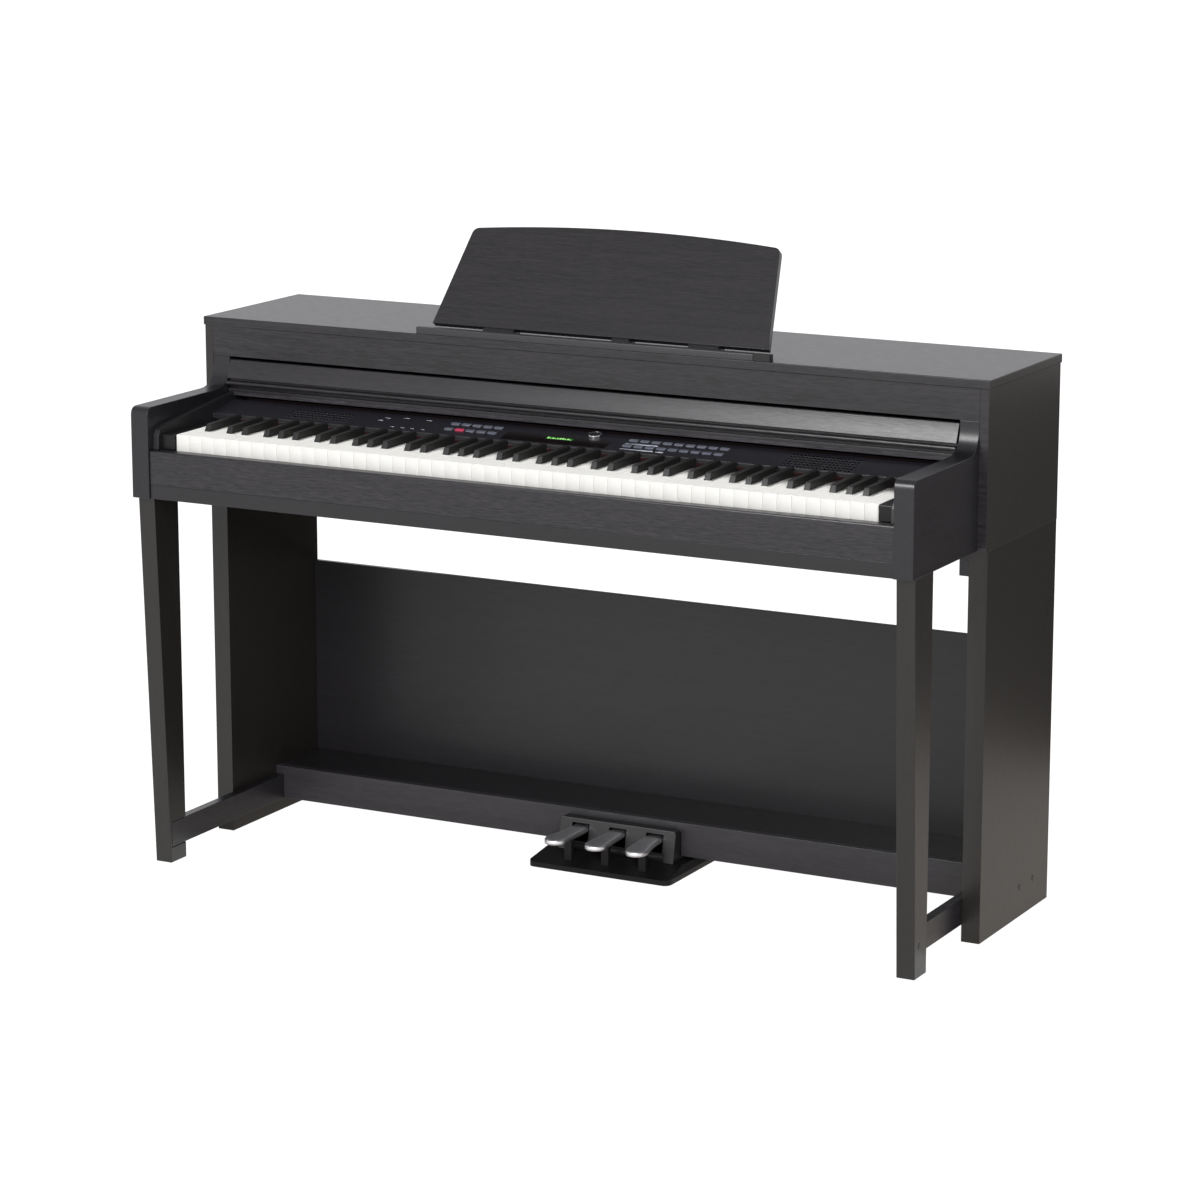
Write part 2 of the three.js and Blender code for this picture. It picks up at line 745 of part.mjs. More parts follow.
const boardLeft = -210;
const boardRight = 330;
const boardFront = 330;
const boardSheet = 1.6;
const boardPostHeight = 6;
const boardPostSize = 10;
const inletX = 290;
const inletWidth = 48;
const inletHeight = 30;
const inletRise = 14;
const inletDepth = 39;
const inletStemWidth = 24;
const boardBackGap = 8;
const socketWidth = 28;
const socketHeight = 20;
const socketDepth = 18;

// The space of the power inlet block, grown by a spare all round, through the back panel.
function inletHole(spare, overrun) {
  const bottom = keybedTop + inletRise;
  return box(
    [inletX - inletWidth / 2 - spare, inletX + inletWidth / 2 + spare],
    [backPanelFront - overrun, caseBack + overrun],
    [bottom - spare, bottom + inletHeight + spare],
  );
}

function buildElectronics() {
  const sheetBottom = keybedTop + boardPostHeight;
  const boardBack = backPanelFront - boardBackGap;
  const bottom = keybedTop + inletRise;
  const sheetTop = sheetBottom + boardSheet;
  const sheet = box([boardLeft, boardRight], [boardFront, boardBack], [sheetBottom, sheetTop]);
  const posts = [];
  for (const x of [boardLeft + boardPostSize, (boardLeft + boardRight) / 2, boardRight - boardPostSize]) {
    for (const y of [boardFront + boardPostSize, boardBack - boardPostSize * 2]) {
      const post = box(
        [x - boardPostSize / 2, x + boardPostSize / 2],
        [y - boardPostSize / 2, y + boardPostSize / 2],
        [keybedTop, sheetTop],
      );
      posts.push(post);
    }
  }
  const inletBlock = box(
    [inletX - inletWidth / 2, inletX + inletWidth / 2],
    [caseBack - inletDepth, caseBack],
    [bottom, bottom + inletHeight],
  );
  const inletStem = box(
    [inletX - inletStemWidth / 2, inletX + inletStemWidth / 2],
    [caseBack - inletDepth, boardBack],
    [sheetBottom, bottom + 1],
  );
  const middle = bottom + inletHeight / 2;
  const socket = box(
    [inletX - socketWidth / 2, inletX + socketWidth / 2],
    [caseBack - socketDepth, caseBack + 1],
    [middle - socketHeight / 2, middle + socketHeight / 2],
  );
  add('sound_board', cut(joined([sheet, ...posts, inletStem, inletBlock]), [socket]), 'circuit');

  for (const [label, side] of sides) {
    const speaker = add(`speaker_${label}`, turned([
      [0, speakerConeDepth],
      [speakerDomeRadius, speakerConeDepth],
      [speakerConeRadius - 2, 0],
      [speakerRimRadius, 0],
      [speakerRimRadius, speakerRimThickness],
      [speakerMagnetRadius, speakerDepth * 0.6],
      [speakerMagnetRadius, speakerDepth],
      [0, speakerDepth],
    ], 32), 'mouldedBlack');
    speaker.position.set(side * speakerX, speakerY, keybedTop);
  }
}

// ---------- stand ----------

const standSideWidth = 30.5;
const standSideSetback = 7;
const standSideFront = caseFront + standSideSetback;
const standSideBackGap = 1;
const standSideBack = caseBack - standSideBackGap;
const standInner = caseOuter - standSideWidth;
const legWidth = 30;
const legTopFront = 13.4;
const legFootFront = 37.7;
const legBack = 82;
const railThickness = standInner - cheekInner;
const railHeight = 42;
const railBottom = 26.5;
const railFront = 42;
const kickBoardThickness = 15;
const kickBoardHeight = 56.5;
const shelfDepth = 119;
const shelfThickness = 15;
const shelfCleatWidth = 20;
const shelfCleatDrop = 38;
const modestyInset = 12;
const modestyThickness = 9;
const modestyHeight = 390;
const topCleatInset = 2;
const topCleatBackGap = 5;

const modestyY = caseBack - modestyInset;
const topCleatFront = standSideFront + topCleatInset;
const topCleatBack = modestyY - topCleatBackGap;
const kickBoardTop = railBottom + kickBoardHeight;
const kickBoardBack = modestyY - shelfDepth;
const kickBoardY = kickBoardBack - kickBoardThickness;

function buildStand() {
  const leg = outline([
    [legTopFront, standHeight],
    [legFootFront, 0],
    [legBack, 0],
    [legBack, standHeight],
  ]);
  const railTop = railBottom + railHeight;
  for (const [label, side] of sides) {
    const panelX = sideRange(side, standInner, caseOuter);
    add(`stand_side_${label}`, box(panelX, [standSideFront, standSideBack], [0, standHeight]), 'satinBlack');
    const notch = box(
      sideRange(side, cheekInner - 1, standInner + fitGap),
      [railFront - fitGap, legBack + 1],
      [railBottom - fitGap, railTop + fitGap],
    );
    const legSolid = acrossX(leg, ...sideRange(side, cheekInner, cheekInner + legWidth));
    add(`front_leg_${label}`, cut(legSolid, [notch]), 'satinBlack');
    const railX = sideRange(side, cheekInner, cheekInner + railThickness);
    add(`foot_rail_${label}`, box(railX, [railFront, kickBoardY], [railBottom, railTop]), 'satinBlack');
    const cleat = box(railX, [topCleatFront, topCleatBack], [standHeight - railHeight, standHeight]);
    add(`top_cleat_${label}`, cleat, 'satinBlack');
  }
  const kickBoard = box([-standInner, standInner], [kickBoardY, kickBoardBack], [railBottom, kickBoardTop]);
  const housingHole = box(
    [pedalX - housingHalf - fitGap, pedalX + housingHalf + fitGap],
    [kickBoardY - 1, kickBoardBack + 1],
    [railBottom - 1, housingTailTop + fitGap],
  );
  add('kick_board', cut(kickBoard, [housingHole]), 'satinBlack');
  const shelfBottom = kickBoardTop - shelfThickness;
  const shelf = outline([
    [-standInner, kickBoardTop],
    [-standInner, shelfBottom - shelfCleatDrop],
    [-standInner + shelfCleatWidth, shelfBottom - shelfCleatDrop],
    [-standInner + shelfCleatWidth, shelfBottom],
    [standInner - shelfCleatWidth, shelfBottom],
    [standInner - shelfCleatWidth, shelfBottom - shelfCleatDrop],
    [standInner, shelfBottom - shelfCleatDrop],
    [standInner, kickBoardTop],
  ]);
  add('shelf_board', alongY(shelf, kickBoardBack, modestyY), 'satinBlack');
  const modestyBoard = box(
    [-standInner, standInner],
    [modestyY, modestyY + modestyThickness],
    [railBottom, railBottom + modestyHeight],
  );
  add('modesty_panel', modestyBoard, 'satinBlack');
}

// ---------- pedal unit: its own Y starts at the face of the kick board ----------

const pedalX = 8;
const pedalPitch = 68;
const baseLeftReach = 131.5;
const baseRightReach = 126.5;
const baseFront = -86;
const baseBack = 87;
const baseRim = 8.5;
const baseTop = 20;
const baseFlatFront = -28;
const baseBevel = 5;
const baseCornerRadius = 14;
const stopY = -65;
const stopTop = 46;
const stopWidth = 13;
const stopDepth = 9;
const pivotY = 57;
const pivotZ = 48;
const pivotRadius = 4;
const pivotPostThickness = 6;
const pivotPostHalfDepth = 10;
const pivotPostCrown = 3;
const housingHalf = 105.5;
const housingFootY = -28;
const housingFrontY = -17;
const housingTop = 72;
const housingTailTop = 66;
const housingTailBack = 83;
const housingWall = 3;
const housingCornerRadius = 8;
const slotTop = 64;
const slotBottom = 34;
const slotGap = 1;
const pedalArmWidth = 30;
const pedalTipRadius = 19;
const pedalSplay = 6;
const pedalTipY = -112;
const pedalWaistY = -57;
const pedalArmFront = -32;
const pedalSkirt = 8;
const pedalSheet = 2.5;
const pedalMouthTop = 60;
const pedalBendY = -83;
const pedalBendTop = 59;
const pedalTipTop = 57;
const pedalHeel = 12;
const pedalHeelSolid = 24;
const pedalHeelDrop = 11;
const pedalBoreGap = 0.4;
const overrun = 2;

const pedalUnit = groupAt(kickBoardY, 0);

function pedalCentres() {
  return [-1, 0, 1].map((place) => pedalX + place * pedalPitch);
}

function crossRod(radius, x0, x1) {
  const rod = new THREE.CylinderGeometry(radius, radius, x1 - x0, 20);
  return rod.rotateZ(Math.PI / 2).translate((x0 + x1) / 2, pivotY, pivotZ);
}

function buildPedalBase() {
  const left = pedalX - baseLeftReach;
  const right = pedalX + baseRightReach;
  const plan = outline([
    [left, baseFront, baseCornerRadius],
    [right, baseFront, baseCornerRadius],
    [right, baseBack],
    [left, baseBack],
  ]);
  const block = upZ(plan, 0, baseTop, 5);
  const crown = acrossX(outline([
    [baseFront - 1, -1],
    [baseBack + 1, -1],
    [baseBack + 1, baseTop + 1],
    [baseFlatFront, baseTop],
    [baseFront, baseRim],
    [baseFront - 1, baseRim],
  ]), left - 1, right + 1);
  const bevelled = alongY(outline([
    [left - 1, -1],
    [right + 1, -1],
    [right + 1, baseRim],
    [right, baseRim],
    [right - baseBevel, baseTop + 1],
    [left + baseBevel, baseTop + 1],
    [left, baseRim],
    [left - 1, baseRim],
  ]), baseFront - overrun, baseBack + overrun);
  let base = solid(block).intersect(solid(crown)).intersect(solid(bevelled));
  for (const x of pedalCentres()) {
    const stop = box([x - stopWidth / 2, x + stopWidth / 2], [stopY, stopY + stopDepth], [baseRim, stopTop]);
    base = base.add(solid(stop));
  }
  const clear = (pedalArmWidth / 2) + slotGap;
  const postPlaces = pedalCentres().flatMap((x) => [x - clear - pivotPostThickness, x + clear]);
  for (const x0 of postPlaces) {
    const post = box(
      [x0, x0 + pivotPostThickness],
      [pivotY - pivotPostHalfDepth, pivotY + pivotPostHalfDepth],
      [baseTop - 1, pivotZ + pivotRadius + pivotPostCrown],
    );
    base = base.add(solid(post));
  }
  const lastPost = postPlaces[postPlaces.length - 1] + pivotPostThickness;
  base = base.add(solid(crossRod(pivotRadius, postPlaces[0] - 1, lastPost + 1)));
  add('pedal_base', surface(base), 'glossBlack', pedalUnit);
}

function housingOutline(inset, footZ) {
  const wallLean = (housingFrontY - housingFootY) / (housingTop - baseTop);
  const frontAt = (z) => housingFootY + wallLean * (z - baseTop) + inset;
  const tailTop = housingTailTop - inset;
  const step = -fitGap - inset;
  return outline([
    [frontAt(footZ), footZ],
    [frontAt(housingTop - inset), housingTop - inset, 3],
    [step, housingTop - inset],
    [step, tailTop],
    [housingTailBack - inset, tailTop],
    [housingTailBack - inset, footZ],
  ]);
}

function buildPedalHousing() {
  const left = pedalX - housingHalf;
  const right = pedalX + housingHalf;
  const shell = acrossX(housingOutline(0, baseTop), left, right, 3);
  const frontView = alongY(outline([
    [left, baseTop - overrun],
    [right, baseTop - overrun],
    [right, housingTop, housingCornerRadius],
    [left, housingTop, housingCornerRadius],
  ]), housingFootY - overrun, housingTailBack + overrun, 5);
  const within = housingOutline(housingWall, baseTop - overrun);
  const hollow = acrossX(within, left + housingWall, right - housingWall, 3);
  const innerView = alongY(outline([
    [left + housingWall, baseTop - overrun * 2],
    [right - housingWall, baseTop - overrun * 2],
    [right - housingWall, housingTop - housingWall, housingCornerRadius - housingWall],
    [left + housingWall, housingTop - housingWall, housingCornerRadius - housingWall],
  ]), housingFootY - overrun, housingTailBack + overrun, 5);
  let housing = solid(shell).intersect(solid(frontView));
  housing = housing.subtract(solid(hollow).intersect(solid(innerView)));
  const slotHalf = pedalArmWidth / 2 + slotGap;
  for (const x of pedalCentres()) {
    const slotDepth = [housingFootY - 1, housingFrontY + housingWall * 2];
    const slot = box([x - slotHalf, x + slotHalf], slotDepth, [slotBottom, slotTop]);
    housing = housing.subtract(solid(slot));
  }
  add('pedal_housing', surface(housing), 'glossBlack', pedalUnit);
}

// The outer pedals bend outwards: their tips stand off the line of the arm by splay.
function pedalPlan(centre, splay, inset) {
  const armHalf = pedalArmWidth / 2 - inset;
  const tipRadius = pedalTipRadius - inset;
  const tipCentreY = pedalTipY + pedalTipRadius;
  const back = pivotY + pedalHeel - inset;
  const shape = new THREE.Shape();
  shape.moveTo(centre + armHalf, back);
  shape.lineTo(centre - armHalf, back);
  shape.lineTo(centre - armHalf, pedalArmFront);
  shape.quadraticCurveTo(centre - armHalf, pedalWaistY, centre + splay - tipRadius, tipCentreY);
  shape.absarc(centre + splay, tipCentreY, tipRadius, Math.PI, 2 * Math.PI, false);
  shape.quadraticCurveTo(centre + armHalf, pedalWaistY, centre + armHalf, pedalArmFront);
  return shape;
}

// A side view of the pedal whose top is lowered by inset and whose foot hangs by skirt.
function pedalSide(inset, skirt) {
  const armHeight = pedalMouthTop - inset;
  return outline([
    [pedalTipY - overrun, pedalTipTop - inset - skirt],
    [pedalBendY, pedalBendTop - inset - skirt],
    [housingFrontY, armHeight - skirt],
    [pivotY + pedalHeel + overrun, armHeight - skirt - pedalHeelDrop],
    [pivotY + pedalHeel + overrun, armHeight],
    [housingFrontY, armHeight],
    [pedalBendY, pedalBendTop - inset],
    [pedalTipY - overrun, pedalTipTop - inset],
  ]);
}

function buildPedals() {
  const labels = ['left', 'middle', 'right'];
  const wide = pedalTipRadius + pedalSplay + overrun;
  pedalCentres().forEach((x, index) => {
    const splay = pedalSplay * (index - 1);
    const outer = solid(upZ(pedalPlan(x, splay, 0), 0, housingTop, 8));
    const body = outer.intersect(solid(acrossX(pedalSide(0, pedalSkirt), x - wide, x + wide)));
    const innerPlan = solid(upZ(pedalPlan(x, splay, pedalSheet), 0, housingTop, 8));
    const hollow = innerPlan.intersect(solid(acrossX(pedalSide(pedalSheet, pedalSkirt), x - wide, x + wide)));
    const ahead = box([x - wide, x + wide], [pedalTipY - 1, pivotY - pedalHeelSolid], [0, housingTop]);
    let pedal = body.subtract(hollow.intersect(solid(ahead)));
    pedal = pedal.subtract(solid(crossRod(pivotRadius + pedalBoreGap, x - wide, x + wide)));
    add(`pedal_${labels[index]}`, surface(pedal), 'pedalMetal', pedalUnit);
  });
}

buildCase();
buildKeybed();
buildGuides();
buildControlPanel();
buildCover();
buildDesk();
buildKeys();
buildElectronics();
buildStand();
buildPedalBase();
buildPedalHousing();
buildPedals();

export default piano;
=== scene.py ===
import math
import bmesh
import bpy
from mathutils import Matrix, Vector


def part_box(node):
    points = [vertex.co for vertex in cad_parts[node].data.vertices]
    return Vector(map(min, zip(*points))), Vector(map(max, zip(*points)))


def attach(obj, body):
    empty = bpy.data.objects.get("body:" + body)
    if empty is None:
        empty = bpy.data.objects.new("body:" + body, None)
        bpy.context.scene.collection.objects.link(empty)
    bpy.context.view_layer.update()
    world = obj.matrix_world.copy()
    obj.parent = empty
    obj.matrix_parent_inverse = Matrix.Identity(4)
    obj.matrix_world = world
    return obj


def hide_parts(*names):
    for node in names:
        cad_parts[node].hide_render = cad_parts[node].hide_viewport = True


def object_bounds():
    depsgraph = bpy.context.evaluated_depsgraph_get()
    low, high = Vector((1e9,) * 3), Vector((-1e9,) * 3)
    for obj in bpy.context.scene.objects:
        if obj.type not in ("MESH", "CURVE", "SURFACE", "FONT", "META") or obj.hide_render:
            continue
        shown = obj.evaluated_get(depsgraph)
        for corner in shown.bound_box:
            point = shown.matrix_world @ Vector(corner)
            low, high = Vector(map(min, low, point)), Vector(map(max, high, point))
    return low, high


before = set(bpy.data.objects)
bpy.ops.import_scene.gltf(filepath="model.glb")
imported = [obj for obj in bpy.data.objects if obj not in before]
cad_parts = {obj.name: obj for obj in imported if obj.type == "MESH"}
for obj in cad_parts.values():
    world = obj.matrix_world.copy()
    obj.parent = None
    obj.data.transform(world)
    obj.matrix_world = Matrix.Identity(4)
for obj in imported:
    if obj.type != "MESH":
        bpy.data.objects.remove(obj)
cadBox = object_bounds()
frontY = cadBox[0].y  # the fronts of the cheeks


# the dictionaries below hold millimetres, and the scene is in metres
def mm(length):
    return length / 1000


def back(distance):
    return frontY + mm(distance)  # a distance behind the fronts of the cheeks


def mmPair(pair):
    return mm(pair[0]), mm(pair[1])


def backPair(pair):
    return back(pair[0]), back(pair[1])


def perSize(size):
    return 1000 / size  # texture scale whose features are that many millimetres


# place and lens in millimetres, angles in radians, reach of the view in metres
camera = {
    "x": 2867.2, "y": -5105.1, "z": 1821.0, "turn": 0.4864, "dip": 0.2193, "lens": 117.85, "sensor": 36,
    "reach": 200,
}


def setCamera():
    data = bpy.data.cameras.new("camera")
    data.lens = camera["lens"]
    data.sensor_width = camera["sensor"]
    data.clip_end = camera["reach"]
    eye = bpy.data.objects.new("camera", data)
    eye.location = (mm(camera["x"]), back(camera["y"]), mm(camera["z"]))
    eye.rotation_euler = (math.pi / 2 - camera["dip"], 0, camera["turn"])
    bpy.context.scene.collection.objects.link(eye)
    bpy.context.scene.camera = eye


setCamera()
print("camera set")


def linear(hexColour):
    parts = [int(hexColour[i:i + 2], 16) / 255 for i in (1, 3, 5)]
    return tuple(p / 12.92 if p <= 0.04045 else ((p + 0.055) / 1.055) ** 2.4 for p in parts) + (1,)


def addNode(tree, kind, inputs=None, links=None, feeds=None, **settings):
    # links lead into the node, and feeds lead from its outputs to other sockets
    node = tree.nodes.new(kind)
    for key, value in settings.items():
        setattr(node, key, value)
    for key, value in (inputs or {}).items():
        node.inputs[key].default_value = value
    for key, source in (links or {}).items():
        tree.links.new(source, node.inputs[key])
    for key, target in (feeds or {}).items():
        tree.links.new(node.outputs[key], target)
    return node


def startMaterial(name, colour, roughness, **shader):
    material = bpy.data.materials.new(name)
    material.use_nodes = True
    tree = material.node_tree
    bsdf = tree.nodes["Principled BSDF"]
    bsdf.inputs["Base Color"].default_value = linear(colour)
    bsdf.inputs["Roughness"].default_value = roughness
    for key, value in shader.items():
        bsdf.inputs[key.replace("_", " ")].default_value = value
    place = addNode(tree, "ShaderNodeTexCoord").outputs["Object"]
    return material, tree, bsdf, place


def addRelief(tree, bsdf, pattern, gloss=None, depth=None):
    # the pattern shows as roughness between two values, as bumps of a depth in millimetres, or as both
    if gloss:
        addNode(tree, "ShaderNodeMapRange", {"To Min": gloss[0], "To Max": gloss[1]}, {"Value": pattern},
                {"Result": bsdf.inputs["Roughness"]})
    if depth:
        addNode(tree, "ShaderNodeBump", {"Strength": 1, "Distance": mm(depth)}, {"Height": pattern},
                {"Normal": bsdf.inputs["Normal"]})


foil = {
    "pore": {"length": 22, "width": 2.3, "roughness": 0.7, "range": (0.36, 0.64)},
    "streak": {"length": 170, "width": 8, "roughness": 0.5, "range": (0.3, 0.7)},
    "detail": 3, "ior": 1.5, "specular": 0.45, "roughness": 0.34, "gloss": (0.44, 0.26),
}


# Black foil embossed with ash grain, pressed on particle board: satin, with short light and dark
# pores over long streaks. Real pores are 0.3 mm wide. They are drawn about eight times as coarse, to show.
def makeLaminate(name, grainAxis, dark="#080708", light="#2d2a2e", poreDepth=0.12, poreShare=0.65):
    material, tree, bsdf, place = startMaterial(name, dark, foil["roughness"], IOR=foil["ior"],
                                                Specular_IOR_Level=foil["specular"])
    noises, shares = {}, {}
    for part in ("pore", "streak"):
        grain = foil[part]
        stretch = [perSize(grain["width"])] * 3
        stretch["XYZ".index(grainAxis)] = perSize(grain["length"])
        where = addNode(tree, "ShaderNodeMapping", {"Scale": stretch}, {"Vector": place})
        noises[part] = addNode(tree, "ShaderNodeTexNoise",
                               {"Scale": 1, "Detail": foil["detail"], "Roughness": grain["roughness"]},
                               {"Vector": where.outputs["Vector"]}).outputs["Fac"]
        low, high = grain["range"]
        shares[part] = addNode(tree, "ShaderNodeMapRange", {"From Min": low, "From Max": high},
                               {"Value": noises[part]}).outputs["Result"]
    both = addNode(tree, "ShaderNodeMix", {"Factor": poreShare}, {"A": shares["streak"], "B": shares["pore"]})
    addNode(tree, "ShaderNodeMix", {"A": linear(dark), "B": linear(light)},
            {"Factor": both.outputs["Result"]}, {"Result": bsdf.inputs["Base Color"]}, data_type="RGBA")
    addRelief(tree, bsdf, noises["pore"], foil["gloss"], poreDepth)
    return material


moulded = {"ior": 1.53, "detail": 2, "patch": 90, "patchDetail": 1, "glossSpread": 0.05}


# Plastic injection moulded in a spark-eroded mould: an even, fine, dull grain, and broad faint patches
# of more and less gloss. Real pits are 0.1 mm wide. Each grain is drawn as coarse as it needs to show.
def makeMoulded(name, colour, roughness=0.45, grain=0.9, depth=0.02, specular=0.5):
    material, tree, bsdf, place = startMaterial(name, colour, roughness, IOR=moulded["ior"],
                                                Specular_IOR_Level=specular)
    pits = addNode(tree, "ShaderNodeTexNoise", {"Scale": perSize(grain), "Detail": moulded["detail"]},
                   {"Vector": place})
    addRelief(tree, bsdf, pits.outputs["Fac"], depth=depth)
    patches = addNode(tree, "ShaderNodeTexNoise",
                      {"Scale": perSize(moulded["patch"]), "Detail": moulded["patchDetail"]},
                      {"Vector": place})
    change = moulded["glossSpread"]
    addRelief(tree, bsdf, patches.outputs["Fac"], (roughness - change, roughness + change))
    return material


brush = {"lineWidth": 0.5, "lineLength": 30, "detail": 2, "smoother": 0.06, "rougher": 0.08, "depth": 0.004}


# Metal, pressed or turned and then satin brushed: fine lines that spread the highlights. Real lines are
# 0.05 mm wide and are drawn ten times as coarse, to show.
def makeBrushed(name, colour, roughness, brushAxis="Y"):
    material, tree, bsdf, place = startMaterial(name, colour, roughness, Metallic=1.0)
    stretch = [perSize(brush["lineWidth"])] * 3
    stretch["XYZ".index(brushAxis)] = perSize(brush["lineLength"])
    where = addNode(tree, "ShaderNodeMapping", {"Scale": stretch}, {"Vector": place})
    lines = addNode(tree, "ShaderNodeTexNoise", {"Scale": 1, "Detail": brush["detail"]},
                    {"Vector": where.outputs["Vector"]})
    gloss = (roughness - brush["smoother"], roughness + brush["rougher"])
    addRelief(tree, bsdf, lines.outputs["Fac"], gloss, brush["depth"])
    return material


wool = {"nap": 1.2, "detail": 4, "depth": 0.3, "roughness": 0.95, "specular": 0.1}


# Wool felt, pressed: a soft nap that hides the light. Fibres are 0.03 mm thick, so tufts are drawn instead.
def makeFelt(name, colour, sheen=0.3):
    material, tree, bsdf, place = startMaterial(name, colour, wool["roughness"], Sheen_Weight=sheen,
                                                Specular_IOR_Level=wool["specular"])
    nap = addNode(tree, "ShaderNodeTexNoise", {"Scale": perSize(wool["nap"]), "Detail": wool["detail"]},
                  {"Vector": place})
    addRelief(tree, bsdf, nap.outputs["Fac"], depth=wool["depth"])
    return material


lamp = {"off": "#101010", "roughness": 0.4, "gloss": (0.35, 0.45), "grain": 2}


# A lamp behind a printed window: even light with little gloss of its own.
def makeLit(name, colour, strength):
    material, tree, bsdf, place = startMaterial(name, lamp["off"], lamp["roughness"])
    bsdf.inputs["Emission Color"].default_value = linear(colour)
    bsdf.inputs["Emission Strength"].default_value = strength
    grain = addNode(tree, "ShaderNodeTexNoise", {"Scale": perSize(lamp["grain"])}, {"Vector": place})
    addRelief(tree, bsdf, grain.outputs["Fac"], lamp["gloss"])
    return material


acrylic = {
    "front": "#f1f0ec", "tail": "#40363a", "from": 120, "to": 156, "roughness": 0.28, "grain": 6,
    "depth": 0.01,
}


# Acrylic key coverings, moulded with a satin top: white in front, with painted shade on the tails, which turn
# greyer and browner where they lie deep between the black keys.
def makeShadedKeyAcrylic(name):
    material = makeMoulded(name, acrylic["front"], acrylic["roughness"], acrylic["grain"], acrylic["depth"])
    tree = material.node_tree
    bsdf = tree.nodes["Principled BSDF"]
    place = addNode(tree, "ShaderNodeTexCoord").outputs["Object"]
    depth = addNode(tree, "ShaderNodeSeparateXYZ", links={"Vector": place}).outputs["Y"]
    # painted shade: between these depths the colour fades from white to the shaded tail
    share = addNode(tree, "ShaderNodeMapRange",
                    {"From Min": back(acrylic["from"]), "From Max": back(acrylic["to"])}, {"Value": depth})
    addNode(tree, "ShaderNodeMix", {"A": linear(acrylic["front"]), "B": linear(acrylic["tail"])},
            {"Factor": share.outputs["Result"]}, {"Result": bsdf.inputs["Base Color"]}, data_type="RGBA")
    return material


# foils, by the way that their grain runs: black and clearly grained where they face forward
foilAcross = makeLaminate("foilBlackEmbossedAcross", "X")
foilBar = makeLaminate("foilBlackEmbossedBar", "X", "#1a181b", "#4a474c")  # more grey under the cover's lip
foilSlip = makeLaminate("foilBlackEmbossedSlip", "X", "#040304", "#2e2b30", 0.15, 0.8)  # the deepest grain
foilUp = makeLaminate("foilBlackEmbossedUp", "Z", "#1a1817", "#242220", 0.04)  # warm and nearly plain
foilDeep = makeLaminate("foilBlackEmbossedDeep", "Y", "#0c0b0d", "#1e1c21", 0.06)  # soft, even black
# melamine faces, pressed smooth: the same black with a grain that is only just there
plainAcross = makeLaminate("melamineBlackPressedAcross", "X", "#141214", "#1c1a1d", 0.012)
plainKick = makeLaminate("melamineBlackPressedKick", "X", "#232124", "#302e32", 0.012)
plainUp = makeLaminate("melamineBlackPressedUp", "Z", "#151311", "#1d1b19", 0.012)
backBoard = makeLaminate("hardboardDarkPressed", "X", "#24211f", "#2b2725", 0.03)  # dull brown-black
# mouldings: from a dull grain on hidden parts to the polished display window
absBlack = makeMoulded("absBlackSparkMoulded", "#171719")
absPanel = makeMoulded("absBlackFineMoulded", "#1d1c22", 0.42, 0.7, 0.012)  # blue-black, finely grained
absRimPaintedHighlight = makeMoulded("absBlackRubbedMoulded", "#4a4a50", 0.35, 0.7, 0.012)  # painted highlight: the rims of the grille holes, painted light where their edges would catch the light
absBase = makeMoulded("absBlackSatinMoulded", "#161617", 0.3, 8, 0.01, 0.24)  # smooth with a soft shine
absHousing = makeMoulded("absBlackGlossyMoulded", "#0c0c0e", 0.4, 4, 0.01, 0.55)  # a broad grey shine
holeShadeBlack = makeMoulded("polyesterBlackFlocked", "#040404", 0.9, 1.5, 0.02, 0.04)  # painted shade: flat black discs stand for the dark inside the grille holes
absGloss = makeMoulded("acrylicBlackPolishedMoulded", "#130b0d", 0.2, 25, 0.02)  # clear, dark reflections
keyWhite = makeShadedKeyAcrylic("acrylicWhiteSatinMoulded")
keyBlack = makeMoulded("phenolicBlackMoulded", "#1e1e1d", 0.46, 5, 0.02, 0.3)  # matt, like worn ebony
buttonGrey = makeMoulded("polycarbonateGreyMoulded", "#7c808f", 0.32, 1, 0.01)  # cool grey caps
rubberBlack = makeMoulded("rubberBlackMoulded", "#101010", 0.8, 1.5, 0.05)  # matt, no highlight
paperCone = makeMoulded("paperBlackPressed", "#1c1b1a", 0.85, 1.0, 0.1)  # fibrous and matt
glassFibre = makeMoulded("glassFibreGreenEtched", "#1f4a30", 0.35, 1.4, 0.02)  # dark green lacquer
printWhite = makeMoulded("inkWhiteScreenPrinted", "#c9cddc", 0.5, 1, 0.005)  # flat, slightly blue white
# metals
nickelSatin = makeBrushed("nickelSatinBrushed", "#e6e6e8", 0.33)  # long soft highlights on the pedals
chromeRing = makeBrushed("chromePolishedTurned", "#dcdcde", 0.12, "Z")  # sharp light and dark
steelZinc = makeBrushed("steelZincTurned", "#8f9092", 0.38, "Z")  # dull grey
# felts and lamps
feltMaroon = makeFelt("woolMaroonPressed", "#2a0b10")  # a dark red line behind the keys
feltDark = makeFelt("woolBlackPressed", "#090304", 0.0)  # no light comes back
lampGreen = makeLit("lampGreenBacklit", "#b4ff94", 1.2)
lampField = makeLit("lampGreenDimBacklit", "#128a10", 0.35)
lampRed = makeLit("lampRedBacklit", "#d84468", 0.7)
print("materials made")


def rounded(corners, steps=4):
    # corners that carry a third value are turned into arcs of about that radius
    path = []
    for i, corner in enumerate(corners):
        here = Vector(corner[:2])
        radius = corner[2] if len(corner) > 2 else 0
        if not radius:
            path.append(here)
            continue
        before = (Vector(corners[i - 1][:2]) - here).normalized()
        after = (Vector(corners[(i + 1) % len(corners)][:2]) - here).normalized()
        reach = radius / math.tan(before.angle(after) / 2)
        start, end = here + before * reach, here + after * reach
        for step in range(steps + 1):
            t = step / steps
            path.append(start.lerp(here, t).lerp(here.lerp(end, t), t))
    return path


